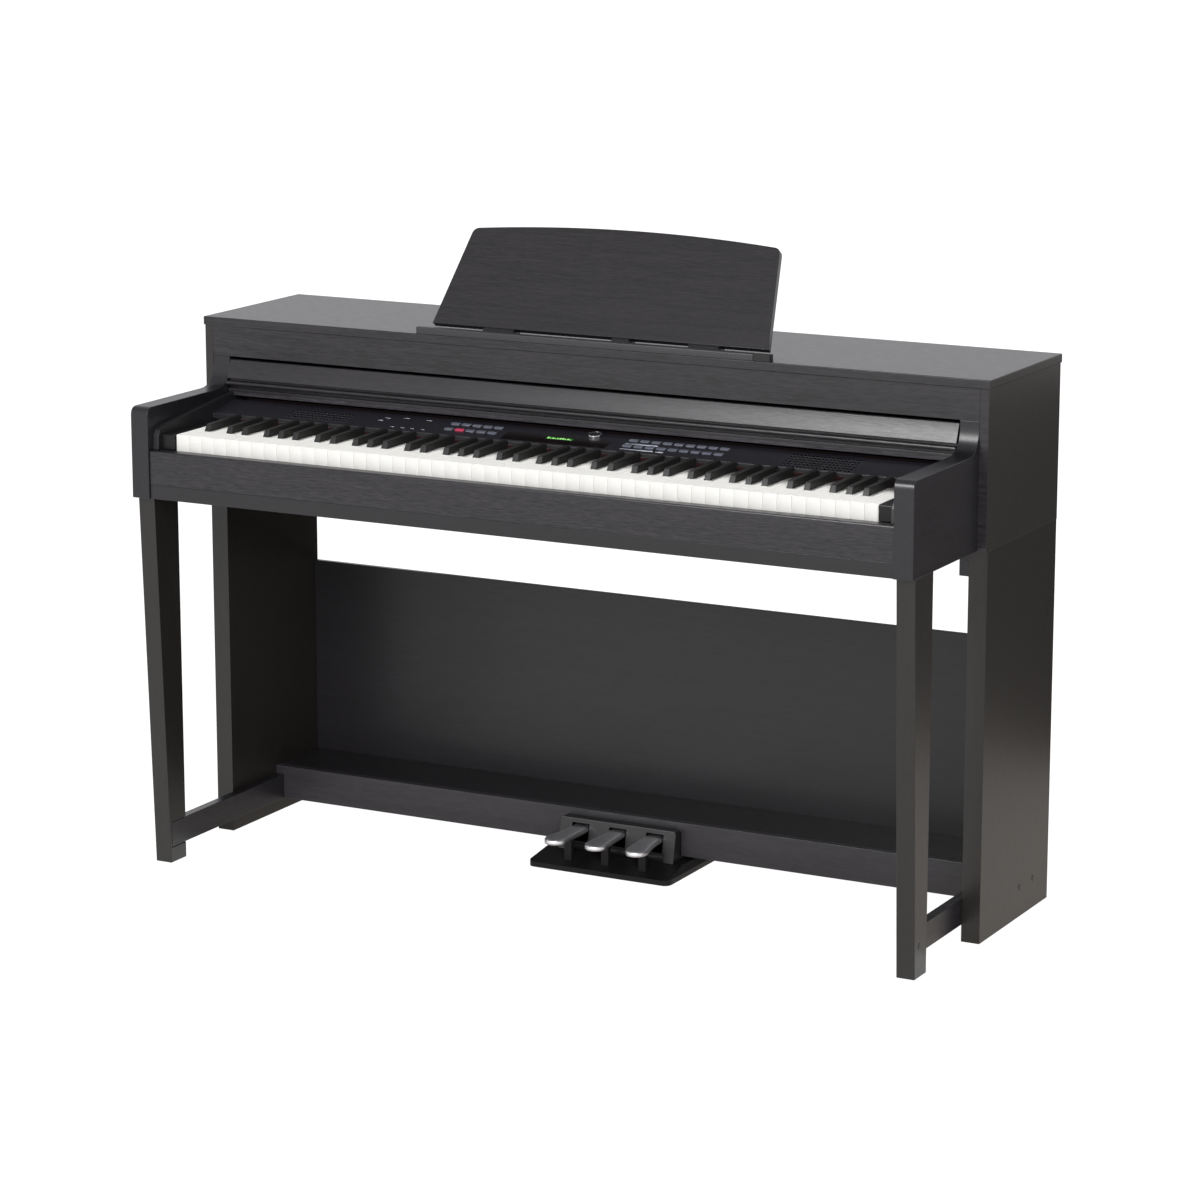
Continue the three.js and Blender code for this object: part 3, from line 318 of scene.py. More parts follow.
def prism(bm, path, low, high, axis):
    # path holds (Y, Z) for axis X, (X, Z) for axis Y and (X, Y) for axis Z
    index = "XYZ".index(axis)

    def corner(point, along):
        place = [point[0], point[1]]
        place.insert(index, along)
        return bm.verts.new(place)

    near = [corner(point, low) for point in path]
    far = [corner(point, high) for point in path]
    bm.faces.new(near)
    bm.faces.new(far)
    for i in range(len(path)):
        j = (i + 1) % len(path)
        bm.faces.new((near[i], near[j], far[j], far[i]))


def slab(bm, x, y, z):
    prism(bm, [(x[0], y[0]), (x[1], y[0]), (x[1], y[1]), (x[0], y[1])], z[0], z[1], "Z")


def addBox(bm, x, y, z):
    # in millimetres, with the depth behind the fronts of the cheeks
    slab(bm, mmPair(x), backPair(y), mmPair(z))


def circle(radius, sides):
    angles = [2 * math.pi * i / sides for i in range(sides)]
    return [(radius * math.cos(angle), radius * math.sin(angle)) for angle in angles]


def disc(bm, centre, radius, low, high, sides=16, axis="Z"):
    ring = [(centre[0] + across, centre[1] + along) for across, along in circle(radius, sides)]
    prism(bm, ring, low, high, axis)


def softenEdges(item, width, segments, angle):
    bevel = item.modifiers.new("edges", "BEVEL")
    bevel.width = mm(width)
    bevel.segments = segments
    bevel.limit_method = "ANGLE"
    bevel.angle_limit = math.radians(angle)
    return bevel


hardEdge = 32  # degrees between two faces, above which their edge is shaded hard and bevelled


def addPiece(name, bm, material, body="piano", edge=0.0, steps=2, turn=None, nodes=(), slot=None):
    if turn:
        bmesh.ops.transform(bm, matrix=turn, verts=bm.verts)
    bmesh.ops.recalc_face_normals(bm, faces=bm.faces)
    for bmEdge in bm.edges:
        if len(bmEdge.link_faces) == 2 and bmEdge.calc_face_angle() > math.radians(hardEdge):
            bmEdge.smooth = False
    mesh = bpy.data.meshes.new(name)
    bm.to_mesh(mesh)
    bm.free()
    mesh.polygons.foreach_set("use_smooth", [True] * len(mesh.polygons))
    mesh.materials.append(material)
    piece = bpy.data.objects.new(name, mesh)
    bpy.context.scene.collection.objects.link(piece)
    if edge:
        softenEdges(piece, edge, steps, hardEdge).harden_normals = True
    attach(piece, body)
    if nodes:
        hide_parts(*nodes)
    return piece


def profilePiece(name, corners, x, material, arcSteps=4, **options):
    # a (Y, Z) profile in millimetres, carried across between two places in metres
    bm = bmesh.new()
    path = [(back(point.x), mm(point.y)) for point in rounded(corners, arcSteps)]
    prism(bm, path, x[0], x[1], "X")
    return addPiece(name, bm, material, **options)


def carve(piece, cutters):
    for bm in cutters:
        bmesh.ops.recalc_face_normals(bm, faces=bm.faces)
        mesh = bpy.data.meshes.new("cutter")
        bm.to_mesh(mesh)
        bm.free()
        cutter = bpy.data.objects.new("cutter", mesh)
        bpy.context.scene.collection.objects.link(cutter)
        boolean = piece.modifiers.new("cut", "BOOLEAN")
        boolean.object = cutter
        boolean.solver = "EXACT"
        piece.modifiers.move(len(piece.modifiers) - 1, 0)
        bpy.context.view_layer.objects.active = piece
        with bpy.context.temp_override(object=piece, active_object=piece):
            bpy.ops.object.modifier_apply(modifier=boolean.name)
        bpy.data.objects.remove(cutter)


def recolour(node, material):
    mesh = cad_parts[node].data
    mesh.materials.clear()
    mesh.materials.append(material)


def span(node, axis):
    low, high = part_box(node)
    index = "XYZ".index(axis)
    return low[index], high[index]


def pieceName(node, start=""):
    words = ([start] if start else []) + node.split("_")
    return words[0] + "".join(word.capitalize() for word in words[1:])


# foil or face, and the width of the softened edges
boards = {
    "top_board": (foilAcross, 1.2),
    "case_side_left": (foilUp, 0.25), "case_side_right": (foilUp, 0.15),
    "front_panel": (foilAcross, 0.15), "back_panel": (backBoard, 0.5),
    "keybed": (plainAcross, 0.8),
    "stand_side_left": (plainUp, 0.5), "stand_side_right": (plainUp, 0.5),
    "foot_rail_left": (foilDeep, 0.8), "foot_rail_right": (foilDeep, 0.8),
    "kick_board": (plainKick, 1.0), "modesty_panel": (plainAcross, 0.8),
    "top_cleat_left": (foilDeep, 0.8), "top_cleat_right": (foilDeep, 0.8),
}
banding = {"top_board": ("X", foilUp), "case_side_right": ("Y", foilAcross)}  # foil ironed on sawn edges
openings = {
    "socket": {"x": (265.7, 314.3), "y": (513, 530), "z": (651.2, 681.8)},
    "housing": {"side": 0.3, "y": (380, 400), "under": 1, "top": 66.3},
    "speaker": {"x": 445, "y": 392, "radius": 52, "z": (600, 650), "sides": 48},
}


def openingCutters(node):
    cutters = []
    if node == "back_panel":
        socket = openings["socket"]
        cutters.append(bmesh.new())
        addBox(cutters[0], socket["x"], socket["y"], socket["z"])
    if node == "kick_board":
        housing = openings["housing"]
        left, right = span("pedal_housing", "X")
        side, bottom = mm(housing["side"]), span(node, "Z")[0] - mm(housing["under"])
        cutters.append(bmesh.new())
        slab(cutters[0], (left - side, right + side), backPair(housing["y"]), (bottom, mm(housing["top"])))
    if node == "keybed":
        speaker = openings["speaker"]
        for side in (-1, 1):
            hole = bmesh.new()
            disc(hole, (side * mm(speaker["x"]), back(speaker["y"])), mm(speaker["radius"]),
                 *mmPair(speaker["z"]), speaker["sides"])
            cutters.append(hole)
    return cutters


def makeBoards():
    for node, (material, edge) in boards.items():
        bm = bmesh.new()
        slab(bm, span(node, "X"), span(node, "Y"), span(node, "Z"))
        slot = "back_board" if node == "back_panel" else "board_satin_black"
        board = addPiece(pieceName(node), bm, material, edge=edge, nodes=[node], slot=slot)
        if node in banding:
            axis, strip = banding[node]
            board.data.materials.append(strip)
            for face in board.data.polygons:
                if abs(face.normal["XYZ".index(axis)]) > 0.9:
                    face.material_index = 1
        carve(board, openingCutters(node))


shelf = {"thickness": 15, "cleatWidth": 20, "edge": 1.0, "cleatEdge": 0.6}


def makeShelf():
    low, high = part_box("shelf_board")
    drop = high.z - mm(shelf["thickness"])
    bm = bmesh.new()
    slab(bm, (low.x, high.x), (low.y, high.y), (drop, high.z))
    addPiece("shelfBoard", bm, plainAcross, edge=shelf["edge"], nodes=["shelf_board"],
             slot="board_satin_black")
    width = mm(shelf["cleatWidth"])
    for label, start in (("Left", low.x), ("Right", high.x - width)):
        bm = bmesh.new()
        slab(bm, (start, start + width), (low.y, high.y), (low.z, drop))
        addPiece("shelfCleat" + label, bm, foilDeep, edge=shelf["cleatEdge"], slot="board_satin_black")


cheek = {
    "top": 761.5, "noseRadius": 15, "filletRadius": 41, "arcSteps": 10, "shoulder": 241, "back": 514,
    "bottom": 614, "edge": 1.2,
}


def makeCheeks():
    for node in ("cheek_left", "cheek_right"):
        low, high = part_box(node)
        top, bottom, rear = high.z * 1000, cheek["bottom"], cheek["back"]
        corners = [
            (0, bottom), (rear, bottom), (rear, top), (cheek["shoulder"], top),
            (cheek["shoulder"], cheek["top"], cheek["filletRadius"]), (0, cheek["top"], cheek["noseRadius"]),
        ]
        profilePiece(pieceName(node), corners, (low.x, high.x), foilDeep, edge=cheek["edge"],
                     arcSteps=cheek["arcSteps"], nodes=[node], slot="board_satin_black")


leg = {"topFront": 13.4, "footFront": 37.7, "back": 82, "top": 614, "edge": 1.5}
notch = {"x": (645, 662.3), "y": (41.7, 84), "z": (26.2, 68.8)}  # in each leg, for the foot rail


def makeLegs():
    for label, side in (("left", -1), ("right", 1)):
        node = "front_leg_" + label
        corners = [(leg["topFront"], leg["top"]), (leg["footFront"], 0), (leg["back"], 0),
                   (leg["back"], leg["top"])]
        piece = profilePiece(pieceName(node), corners, span(node, "X"), plainUp, edge=leg["edge"],
                             nodes=[node], slot="board_satin_black")
        cutter = bmesh.new()
        addBox(cutter, sorted(side * x for x in notch["x"]), notch["y"], notch["z"])
        carve(piece, [cutter])


slip = {
    "front": 3.4, "back": 23.4, "bottom": 637.5, "top": 692, "frontRadius": 3, "backRadius": 1, "edge": 0.4,
}


def makeSlip():
    corners = [(slip["front"], slip["bottom"]), (slip["back"], slip["bottom"]),
               (slip["back"], slip["top"], slip["backRadius"]),
               (slip["front"], slip["top"], slip["frontRadius"])]
    profilePiece("keySlip", corners, span("key_slip", "X"), foilSlip, edge=slip["edge"], nodes=["key_slip"],
                 slot="slip_grained_black")


# the linings of the cheeks, whose top edge is the runner of the key cover, and what stands against them
runner = {
    "x": (636, 646), "slope": 6.8, "start": (39, 730), "startRadius": 4, "back": 500, "bottom": 637.5,
    "front": [(24, 637.5), (24, 692.3), (14, 692.3), (15.3, 715, 6), (21, 725, 6)], "edge": 0.6,
}
keyBlock = {"x": (611.8, 636), "y": (24, 171.5), "z": (692.3, 717), "radius": 2, "edge": 1.0}
panelSeat = {"y": (174.8, 234.2), "bottom": 692.3, "tops": (726, 738)}


def runnerTop(y):
    startY, startZ = runner["start"]
    return startZ + math.tan(math.radians(runner["slope"])) * (y - startY)


def makeRunners():
    end = runner["back"]
    lining = runner["front"] + [(*runner["start"], runner["startRadius"]), (end, runnerTop(end)),
                                (end, runner["bottom"])]
    (front, rear), (bottom, top) = keyBlock["y"], keyBlock["z"]
    block = [(front, bottom), (rear, bottom), (rear, top), (front, top, keyBlock["radius"])]
    (front, rear), (frontTop, rearTop) = panelSeat["y"], panelSeat["tops"]
    seat = [(front, panelSeat["bottom"]), (rear, panelSeat["bottom"]), (rear, rearTop), (front, frontTop)]
    for label, side in (("Left", -1), ("Right", 1)):
        liningX = sorted(side * mm(x) for x in runner["x"])
        blockX = sorted(side * mm(x) for x in keyBlock["x"])
        profilePiece("coverRunner" + label, lining, liningX, absBlack, edge=runner["edge"],
                     nodes=["cover_guide_" + label.lower()], slot="moulding_black")
        profilePiece("keyBlock" + label, block, blockX, absBase, edge=keyBlock["edge"], slot="moulding_black")
        profilePiece("panelSeat" + label, seat, blockX, absBlack, slot="moulding_black")


makeBoards()
makeShelf()
makeCheeks()
makeLegs()
makeSlip()
makeRunners()
print("case and stand dressed")


# one board with a front bar, a lip to pull it by and grooves above and below the lip
cover = {
    "faceTop": (242.4, 806, 2), "faceFoot": (231, 776.4, 0.6), "faceGroove": (238, 775.4, 772.2),
    "lip": (226.5, 772.2, 765.2), "lipRound": 3.2, "groove": (240, 759.4), "board": (250, 446, 6),
    "boardRound": 1, "gap": 0.4, "edge": 0.4,
}
apron = {
    "y": (234.5, 246), "bottom": 748, "half": 635.5, "lap": 0.5, "round": 1, "topRound": 0.8, "edge": 0.3,
}


def makeCover():
    def under(y):
        return runnerTop(y) + cover["gap"]

    boardFront, boardBack, thickness = cover["board"]
    apronFront, apronBack = apron["y"]
    lipFront, lipTop, lipBottom = cover["lip"]
    slotBack, slotTop, slotBottom = cover["faceGroove"]
    grooveBack, grooveBottom = cover["groove"]
    corners = [
        (apronFront, under(apronFront)), (boardBack, under(boardBack)),
        (boardBack, under(boardBack) + thickness, cover["boardRound"]),
        (boardFront, under(boardFront) + thickness), (boardFront, cover["faceTop"][1]),
        cover["faceTop"], cover["faceFoot"],
        (slotBack, slotTop), (slotBack, slotBottom), (lipFront, lipTop, cover["lipRound"]),
        (lipFront, lipBottom, cover["lipRound"]), (grooveBack, lipBottom), (grooveBack, grooveBottom),
        (apronFront, grooveBottom, apron["topRound"]),
    ]
    half = span("fallboard", "X")[1]
    profilePiece("keyCover", corners, (-half, half), foilAcross, body="key_cover", edge=cover["edge"],
                 nodes=["fallboard"], slot="board_satin_black")
    top = under(apronFront) + apron["lap"]
    corners = [(apronFront, apron["bottom"], apron["round"]), (apronBack, apron["bottom"]), (apronBack, top),
               (apronFront, top)]
    profilePiece("keyCoverApron", corners, (-mm(apron["half"]), mm(apron["half"])), foilBar,
                 body="key_cover", edge=apron["edge"], slot="board_satin_black")


makeCover()
print("key cover dressed")


# the board is drawn upright in its own plane, then leaned back about the line of its hinges
desk = {
    "x": 7, "lean": 33, "half": 298, "sideSlope": 0.148, "height": 185.5, "archRadius": 2820, "archSteps": 24,
    "thickness": 12, "front": -12.79, "foot": -2.34, "footRadius": 1.5, "cornerRadius": 13, "cornerSteps": 6,
    "edge": 1.2, "hingeY": 304, "hingeZ": 879, "barrelRadius": 3.2, "barrelInset": 0.6, "barrelSides": 20,
}


def archDrop(x):
    return desk["archRadius"] - math.sqrt(desk["archRadius"] ** 2 - x ** 2)


def makeDesk():
    turn = Matrix.Translation((0, back(desk["hingeY"]), mm(desk["hingeZ"])))
    turn = turn @ Matrix.Rotation(-math.radians(desk["lean"]), 4, "X")
    half, foot, steps = desk["half"], desk["foot"], desk["archSteps"]
    topHalf = half - desk["sideSlope"] * (desk["height"] - archDrop(half))
    corners = [(-half, foot, desk["footRadius"]), (half, foot, desk["footRadius"])]
    for step in range(steps + 1):
        x = topHalf * (1 - 2 * step / steps)
        place = (x, foot + desk["height"] - archDrop(x))
        corners.append((*place, desk["cornerRadius"]) if step in (0, steps) else place)
    bm = bmesh.new()
    path = [(mm(point.x + desk["x"]), mm(point.y)) for point in rounded(corners, desk["cornerSteps"])]
    prism(bm, path, mm(desk["front"]), mm(desk["front"] + desk["thickness"]), "Y")
    addPiece("musicDesk", bm, foilAcross, body="desk", edge=desk["edge"], turn=turn, nodes=["music_desk"],
             slot="board_satin_black")
    for label in ("left", "middle", "right"):
        low, high = span("desk_hinge_" + label, "X")
        inset = mm(desk["barrelInset"])
        bm = bmesh.new()
        disc(bm, (0, 0), mm(desk["barrelRadius"]), low + inset, high - inset, desk["barrelSides"], "X")
        addPiece("deskBarrel" + label.capitalize(), bm, steelZinc, body="desk", turn=turn)
        recolour("desk_hinge_" + label, absBlack)


ledge = {
    "left": -290, "cap": 305, "right": 333, "gap": 0.3, "front": 239, "back": 252, "foot": 874, "height": 11,
    "frontRadius": 2, "backRadius": 1, "edge": 0.5, "capEdge": 0.8,
}


def makeLedge():
    front, rear, foot = ledge["front"], ledge["back"], ledge["foot"]
    top = foot + ledge["height"]
    corners = [(front, foot), (rear, foot), (rear, top, ledge["backRadius"]),
               (front, top, ledge["frontRadius"])]
    profilePiece("deskLedge", corners, mmPair((ledge["left"], ledge["cap"] - ledge["gap"])), absPanel,
                 edge=ledge["edge"], nodes=["desk_ledge"], slot="moulding_black")
    profilePiece("deskLedgeCap", corners, mmPair((ledge["cap"], ledge["right"])), rubberBlack,
                 edge=ledge["capEdge"], slot="moulding_black")


makeDesk()
makeLedge()
print("music desk dressed")


# places on the sloping panel are (x, s, z): s runs up the slope from its front, z stands off its face
panel = {"front": 172, "frontZ": 728.5, "slope": 11.3}


def onPanel():
    place = Matrix.Translation((0, back(panel["front"]), mm(panel["frontZ"])))
    return place @ Matrix.Rotation(math.radians(panel["slope"]), 4, "X")


def panelBar(bm, x, s, z):
    slab(bm, mmPair(x), mmPair(s), mmPair(z))


buttons = {
    "pitch": 19.6, "width": 13, "depth": 5.4, "rim": 1, "rimUnder": 1.2, "proud": 2.1, "stripTop": -2.8,
    "stripDepth": 2, "stripMargin": 1, "edge": 0.3, "lit": ("left_front", 1),
    "rows": {"left_back": (-205, 5, 45), "left_front": (-205, 5, 22),
             "right_back": (113, 9, 45), "right_front": (113, 9, 22)},  # first x, count and s
}


def buttonBar(bm, x, s, margin, z):
    width, depth = buttons["width"] / 2 + margin, buttons["depth"] / 2 + margin
    panelBar(bm, (x[0] - width, x[1] + width), (s - depth, s + depth), z)


def makeButtons():
    stripTop, under = buttons["stripTop"], buttons["rimUnder"]
    for row, (firstX, count, s) in buttons["rows"].items():
        body = "row_" + row
        strip = bmesh.new()
        lastX = firstX + buttons["pitch"] * (count - 1)
        buttonBar(strip, (firstX, lastX), s, buttons["stripMargin"],
                  (stripTop - buttons["stripDepth"], stripTop))
        addPiece(pieceName(row, "buttonStrip"), strip, absBlack, body=body, turn=onPanel(),
                 nodes=["buttons_" + row])
        for index in range(count):
            x = firstX + index * buttons["pitch"]
            cap = bmesh.new()
            buttonBar(cap, (x, x), s, 0, (stripTop, under))
            buttonBar(cap, (x, x), s, buttons["rim"], (under, buttons["proud"]))
            material = lampRed if (row, index) == buttons["lit"] else buttonGrey
            addPiece(pieceName(row, "buttonCap") + str(index + 1), cap, material, body=body,
                     edge=buttons["edge"], turn=onPanel(), slot="button_white")


# the field and its line of segments stand on the window
window = {"x": (-104, 80), "s": (5, 38), "thickness": 2.5, "edge": 0.3}
display = {
    "left": -30, "front": 25.2, "count": 10, "pitch": 4.4, "width": 2.7, "proud": 0.12,
    "heights": (5.6, 2.4, 4.4, 1.8, 3.6, 5), "fieldX": (-32, 15), "fieldS": (23.6, 32.4), "fieldProud": 0.06,
}


def makeWindow():
    bm = bmesh.new()
    panelBar(bm, window["x"], window["s"], (-window["thickness"], 0))
    addPiece("displayWindow", bm, absGloss, edge=window["edge"], turn=onPanel(), nodes=["display_window"],
             slot="gloss_black")
    field, segments = bmesh.new(), bmesh.new()
    panelBar(field, display["fieldX"], display["fieldS"], (0, display["fieldProud"]))
    front, heights = display["front"], display["heights"]
    for index in range(display["count"]):  # plain segments stand where the display shows its line
        x = display["left"] + index * display["pitch"]
        top = front + heights[index % len(heights)]
        panelBar(segments, (x, x + display["width"]), (front, top), (0, display["proud"]))
    addPiece("displayField", field, lampField, turn=onPanel())
    addPiece("displaySegments", segments, lampGreen, turn=onPanel())


dial = {
    "x": 42, "s": 52, "radius": 11.4, "wall": 1.4, "foot": 0.3, "height": 3.8, "roundIn": 0.6,
    "roundDown": 0.8, "dish": 0.9, "sides": 48, "faceLap": 0.3, "faceFoot": 0.4, "markIn": 2.2,
    "markRadius": 0.9, "markProud": 0.15, "shaftRadius": 3, "shaftFoot": -6, "shaftSides": 20,
}


def makeDial():
    turn = onPanel() @ Matrix.Translation((mm(dial["x"]), mm(dial["s"]), 0))
    radius, top, sides = dial["radius"], dial["height"], dial["sides"]
    inner, floor = radius - dial["wall"], top - dial["dish"]
    profile = [(radius, dial["foot"]), (radius, top - dial["roundDown"]), (radius - dial["roundIn"], top),
               (inner, top), (inner, floor)]
    ring, face, mark, shaft = (bmesh.new() for part in range(4))
    loops = [[ring.verts.new((x, y, mm(height))) for x, y in circle(mm(reach), sides)]
             for reach, height in profile]
    for lower, upper in zip(loops, loops[1:] + loops[:1]):
        for i in range(sides):
            j = (i + 1) % sides
            ring.faces.new((lower[i], lower[j], upper[j], upper[i]))
    disc(face, (0, 0), mm(inner + dial["faceLap"]), mm(dial["faceFoot"]), mm(floor), sides)
    disc(mark, (0, mm(inner - dial["markIn"])), mm(dial["markRadius"]), mm(floor),
         mm(floor + dial["markProud"]))
    disc(shaft, (0, 0), mm(dial["shaftRadius"]), mm(dial["shaftFoot"]), mm(dial["faceFoot"]),
         dial["shaftSides"])
    options = {"body": "dial_knob", "turn": turn, "slot": "dial_black"}
    addPiece("dialRing", ring, chromeRing, nodes=["dial"], **options)
    addPiece("dialFace", face, absBlack, **options)
    addPiece("dialMark", mark, printWhite, **options)
    addPiece("dialShaft", shaft, steelZinc, **options)


grilles = {"Left": ((-500, -387), (15, 45)), "Right": ((383, 506), (5, 58))}
hole = {
    "pitchX": 6.6, "pitchS": 9.2, "radius": 2.6, "rim": 0.55, "proud": 0.16, "rimProud": 0.12, "sides": 10,
}


def makeGrilles():
    for label, (x, s) in grilles.items():
        rims, holes = bmesh.new(), bmesh.new()
        for row in range(int((s[1] - s[0]) / hole["pitchS"]) + 1):
            for column in range(int((x[1] - x[0]) / hole["pitchX"])):
                centre = (mm(x[0] + column * hole["pitchX"]), mm(s[0] + row * hole["pitchS"]))
                disc(rims, centre, mm(hole["radius"] + hole["rim"]), 0, mm(hole["rimProud"]), hole["sides"])
                disc(holes, centre, mm(hole["radius"]), 0, mm(hole["proud"]), hole["sides"])
        # the rims carry a painted highlight round each hole
        addPiece("grilleRims" + label, rims, absRimPaintedHighlight, turn=onPanel())
        # the holes are flat black discs, painted shade for the dark inside them
        addPiece("grilleHoles" + label, holes, holeShadeBlack, turn=onPanel())


# plain bars of ink: centre, half length and half width of each group, then the long lines under the buttons
marks = {
    "proud": 0.15, "high": ((-338, 34), (-331, 46), (-299, 52), (-257, 51)), "highHalf": (5, 1.2),
    "low": (-304, -285, -267, -247), "lowHalf": 3.5, "lowS": (11, 13.4),
    "lines": (((104, 160), 34.4), ((106, 163), 11.6), ((166, 180), 11.6)), "lineHalf": 2.3,
}


def makeMarks():
    bm = bmesh.new()
    proud = (0, marks["proud"])
    length, width = marks["highHalf"]
    for x, s in marks["high"]:
        panelBar(bm, (x - length, x + length), (s - width, s + width), proud)
    for x in marks["low"]:
        panelBar(bm, (x - marks["lowHalf"], x + marks["lowHalf"]), marks["lowS"], proud)
    for x, s in marks["lines"]:
        panelBar(bm, x, (s - marks["lineHalf"], s + marks["lineHalf"]), proud)
    addPiece("panelMarks", bm, printWhite, turn=onPanel())


# wool hides the gap over the keys and keeps dust out under the cover's apron, rubber trims the panel's lip
strips = {
    "feltKeys": {"y": (170.5, 172), "z": (717.8, 722.5), "material": feltMaroon, "edge": 0.3},
    "feltCover": {"y": (237, 239), "z": (732, 745), "material": feltDark, "edge": 0.3},
    "panelLipTrim": {"y": (171.5, 172.4), "z": (722.6, 727.4), "material": rubberBlack, "edge": 0.1},
}
stripHalf = 611


def makeStrips():
    for name, strip in strips.items():
        bm = bmesh.new()
        addBox(bm, (-stripHalf, stripHalf), strip["y"], strip["z"])
        addPiece(name, bm, strip["material"], edge=strip["edge"])


makeButtons()
makeWindow()
makeDial()
makeGrilles()
makeMarks()
makeStrips()
recolour("control_panel", absPanel)
print("controls made")


# every one of the 88 keys is a piece of its own
keys = {
    "pitch": 23.5, "count": 52, "gap": 0.35, "front": 28.5, "back": 300, "web": 285, "shoulder": 75,
    "bottom": 690, "top": 717, "frontRadius": 1.2, "shoulderRadius": 1, "arcSteps": 3, "edge": 0.3,
    "middle": 23,  # the first of the seven white keys that are nodes of their own
}
# the side view runs over the nose, the sloping front and the top, then along the low tail and its heel
sharp = {
    "width": 10.6, "clear": 0.7, "taper": 0.86, "height": 11, "capEnd": 172, "edge": 0.8, "steps": 3,
    "arcSteps": 5, "profile": [
        (78.5, 694), (76.5, 715), (78.1, 719), (82.5, 727.9, 2), (170, 730), (170, 716), (280, 716),
        (280, 723.3), (300, 723.3), (300, 717.3), (283.5, 717.3), (283.5, 694),
    ],
    "shift": {0: -2.4, 1: 2.4, 3: -3.4, 4: 0, 5: 3.4},  # off the seam, by letter, C first
}
letters = "cdefgab"


def letterOf(index):
    return (index + 5) % 7  # the lowest white key is an A


def keyEdge(index):
    return (index - keys["count"] / 2) * keys["pitch"]


def sharpCentre(index):
    if index < 0 or index >= keys["count"] - 1 or letterOf(index) not in sharp["shift"]:
        return None
    return keyEdge(index + 1) + sharp["shift"][letterOf(index)]


def keyBody(index, isSharp):
    first, last = keys["middle"], keys["middle"] + len(letters) - 1
    if first <= index <= last:
        name = letters[letterOf(index)] + ("_sharp4" if isSharp else "4")
        return "note_" + name, "key_" + name
    half = "low" if index < first else "high"
    return (half + "_sharps", "black_keys_" + half) if isSharp else (half + "_whites", "white_keys_" + half)


def makeWhiteKey(index):
    left, right = keyEdge(index) + keys["gap"] / 2, keyEdge(index + 1) - keys["gap"] / 2
    leftSharp, rightSharp = sharpCentre(index - 1), sharpCentre(index)
    clear = sharp["width"] / 2 + sharp["clear"]
    shoulder, web, arc = keys["shoulder"], keys["web"], keys["shoulderRadius"]
    corners = [(left, keys["front"], keys["frontRadius"]), (right, keys["front"], keys["frontRadius"])]
    if rightSharp is not None:
        inner = rightSharp - clear
        corners += [(right, shoulder, arc), (inner, shoulder, arc), (inner, web), (right, web)]
    corners += [(right, keys["back"]), (left, keys["back"])]
    if leftSharp is not None:
        inner = leftSharp + clear
        corners += [(left, web), (inner, web), (inner, shoulder, arc), (left, shoulder, arc)]
    bm = bmesh.new()
    path = [(mm(point.x), back(point.y)) for point in rounded(corners, keys["arcSteps"])]
    prism(bm, path, mm(keys["bottom"]), mm(keys["top"]), "Z")
    body, node = keyBody(index, False)
    addPiece(f"whiteKey{index + 1:02d}", bm, keyWhite, body=body, edge=keys["edge"], nodes=[node],
             slot="key_white")


def makeSharp(index):
    centre, half = mm(sharpCentre(index)), mm(sharp["width"] / 2)
    bm = bmesh.new()
    path = [(back(point.x), mm(point.y)) for point in rounded(sharp["profile"], sharp["arcSteps"])]
    prism(bm, path, centre - half, centre + half, "X")
    foot = mm(keys["top"])
    for vert in bm.verts:
        if vert.co.y < back(sharp["capEnd"]) and vert.co.z > foot:  # the flanks lean in towards the top
            share = (vert.co.z - foot) / mm(sharp["height"])
            vert.co.x = centre + (vert.co.x - centre) * (1 - (1 - sharp["taper"]) * share)
    body, node = keyBody(index, True)
    addPiece(f"sharpKey{index + 1:02d}", bm, keyBlack, body=body, edge=sharp["edge"], steps=sharp["steps"],
             nodes=[node], slot="key_black")


def makeKeys():
    for index in range(keys["count"]):
        makeWhiteKey(index)
        if sharpCentre(index) is not None:
            makeSharp(index)
    recolour("key_frame", absBlack)


makeKeys()
print("keys made")


# depths run from the tip to the heel. The rings go from the foot of the skirt, over the rim, to the crown:
# how far each is set in, and how far it lies below the top
pedal = {
    "x": 8, "pitch": 68, "arm": 30, "tipRadius": 19, "splay": 6, "tip": 271, "mouth": 351, "heel": 452,
    "tipTop": 57, "bend": (300, 59), "armTop": (366, 60), "flare": 1.8, "sheet": 2.2, "tipSteps": 14,
    "stations": (400, 366, 351, 343, 335, 327, 319, 311, 303, 296), "roundTo": 292, "weld": 0.05,
    "rings": [(0, 8), (0, 5.4), (0.1, 3.6), (0.6, 2), (1.6, 0.8), (3, 0.2), (5, 0.0), (9, -0.4)],
}
pivot = {
    "y": 440, "z": 48, "eyeRadius": 8, "eyeHalf": 12.5, "bore": 4.4, "boreHalf": 20, "sides": 24, "edge": 0.5,
}
buffer = {"half": 6, "y": (318.5, 326.5), "z": (46, 48.3), "edge": 0.5}
tipCentre = pedal["tip"] + pedal["tipRadius"]


def pedalTop(y):
    bendY, bendTop = pedal["bend"]
    armY, armTop = pedal["armTop"]
    if y < bendY:
        return pedal["tipTop"] + (y - pedal["tip"]) * (bendTop - pedal["tipTop"]) / (bendY - pedal["tip"])
    return bendTop + (y - bendY) * (armTop - bendTop) / (armY - bendY) if y < armY else armTop


def tipShare(y):
    # how far the plan has gone over from the arm to the tip
    share = (pedal["mouth"] - y) / (pedal["mouth"] - tipCentre)
    return min(max(share, 0), 1) ** pedal["flare"]


def pedalHalfWidth(y):
    return pedal["arm"] / 2 + (pedal["tipRadius"] - pedal["arm"] / 2) * tipShare(y)


def pedalOutline():
    # one side of the plan from the heel to the tip, as (half width, y)
    side = [(pedalHalfWidth(y), y) for y in (pedal["heel"], *pedal["stations"])]
    radius, steps = pedal["tipRadius"], pedal["tipSteps"]
    for step in range(steps + 1):
        angle = math.pi / 2 * step / steps
        side.append((radius * math.cos(angle), tipCentre - radius * math.sin(angle)))
    return side


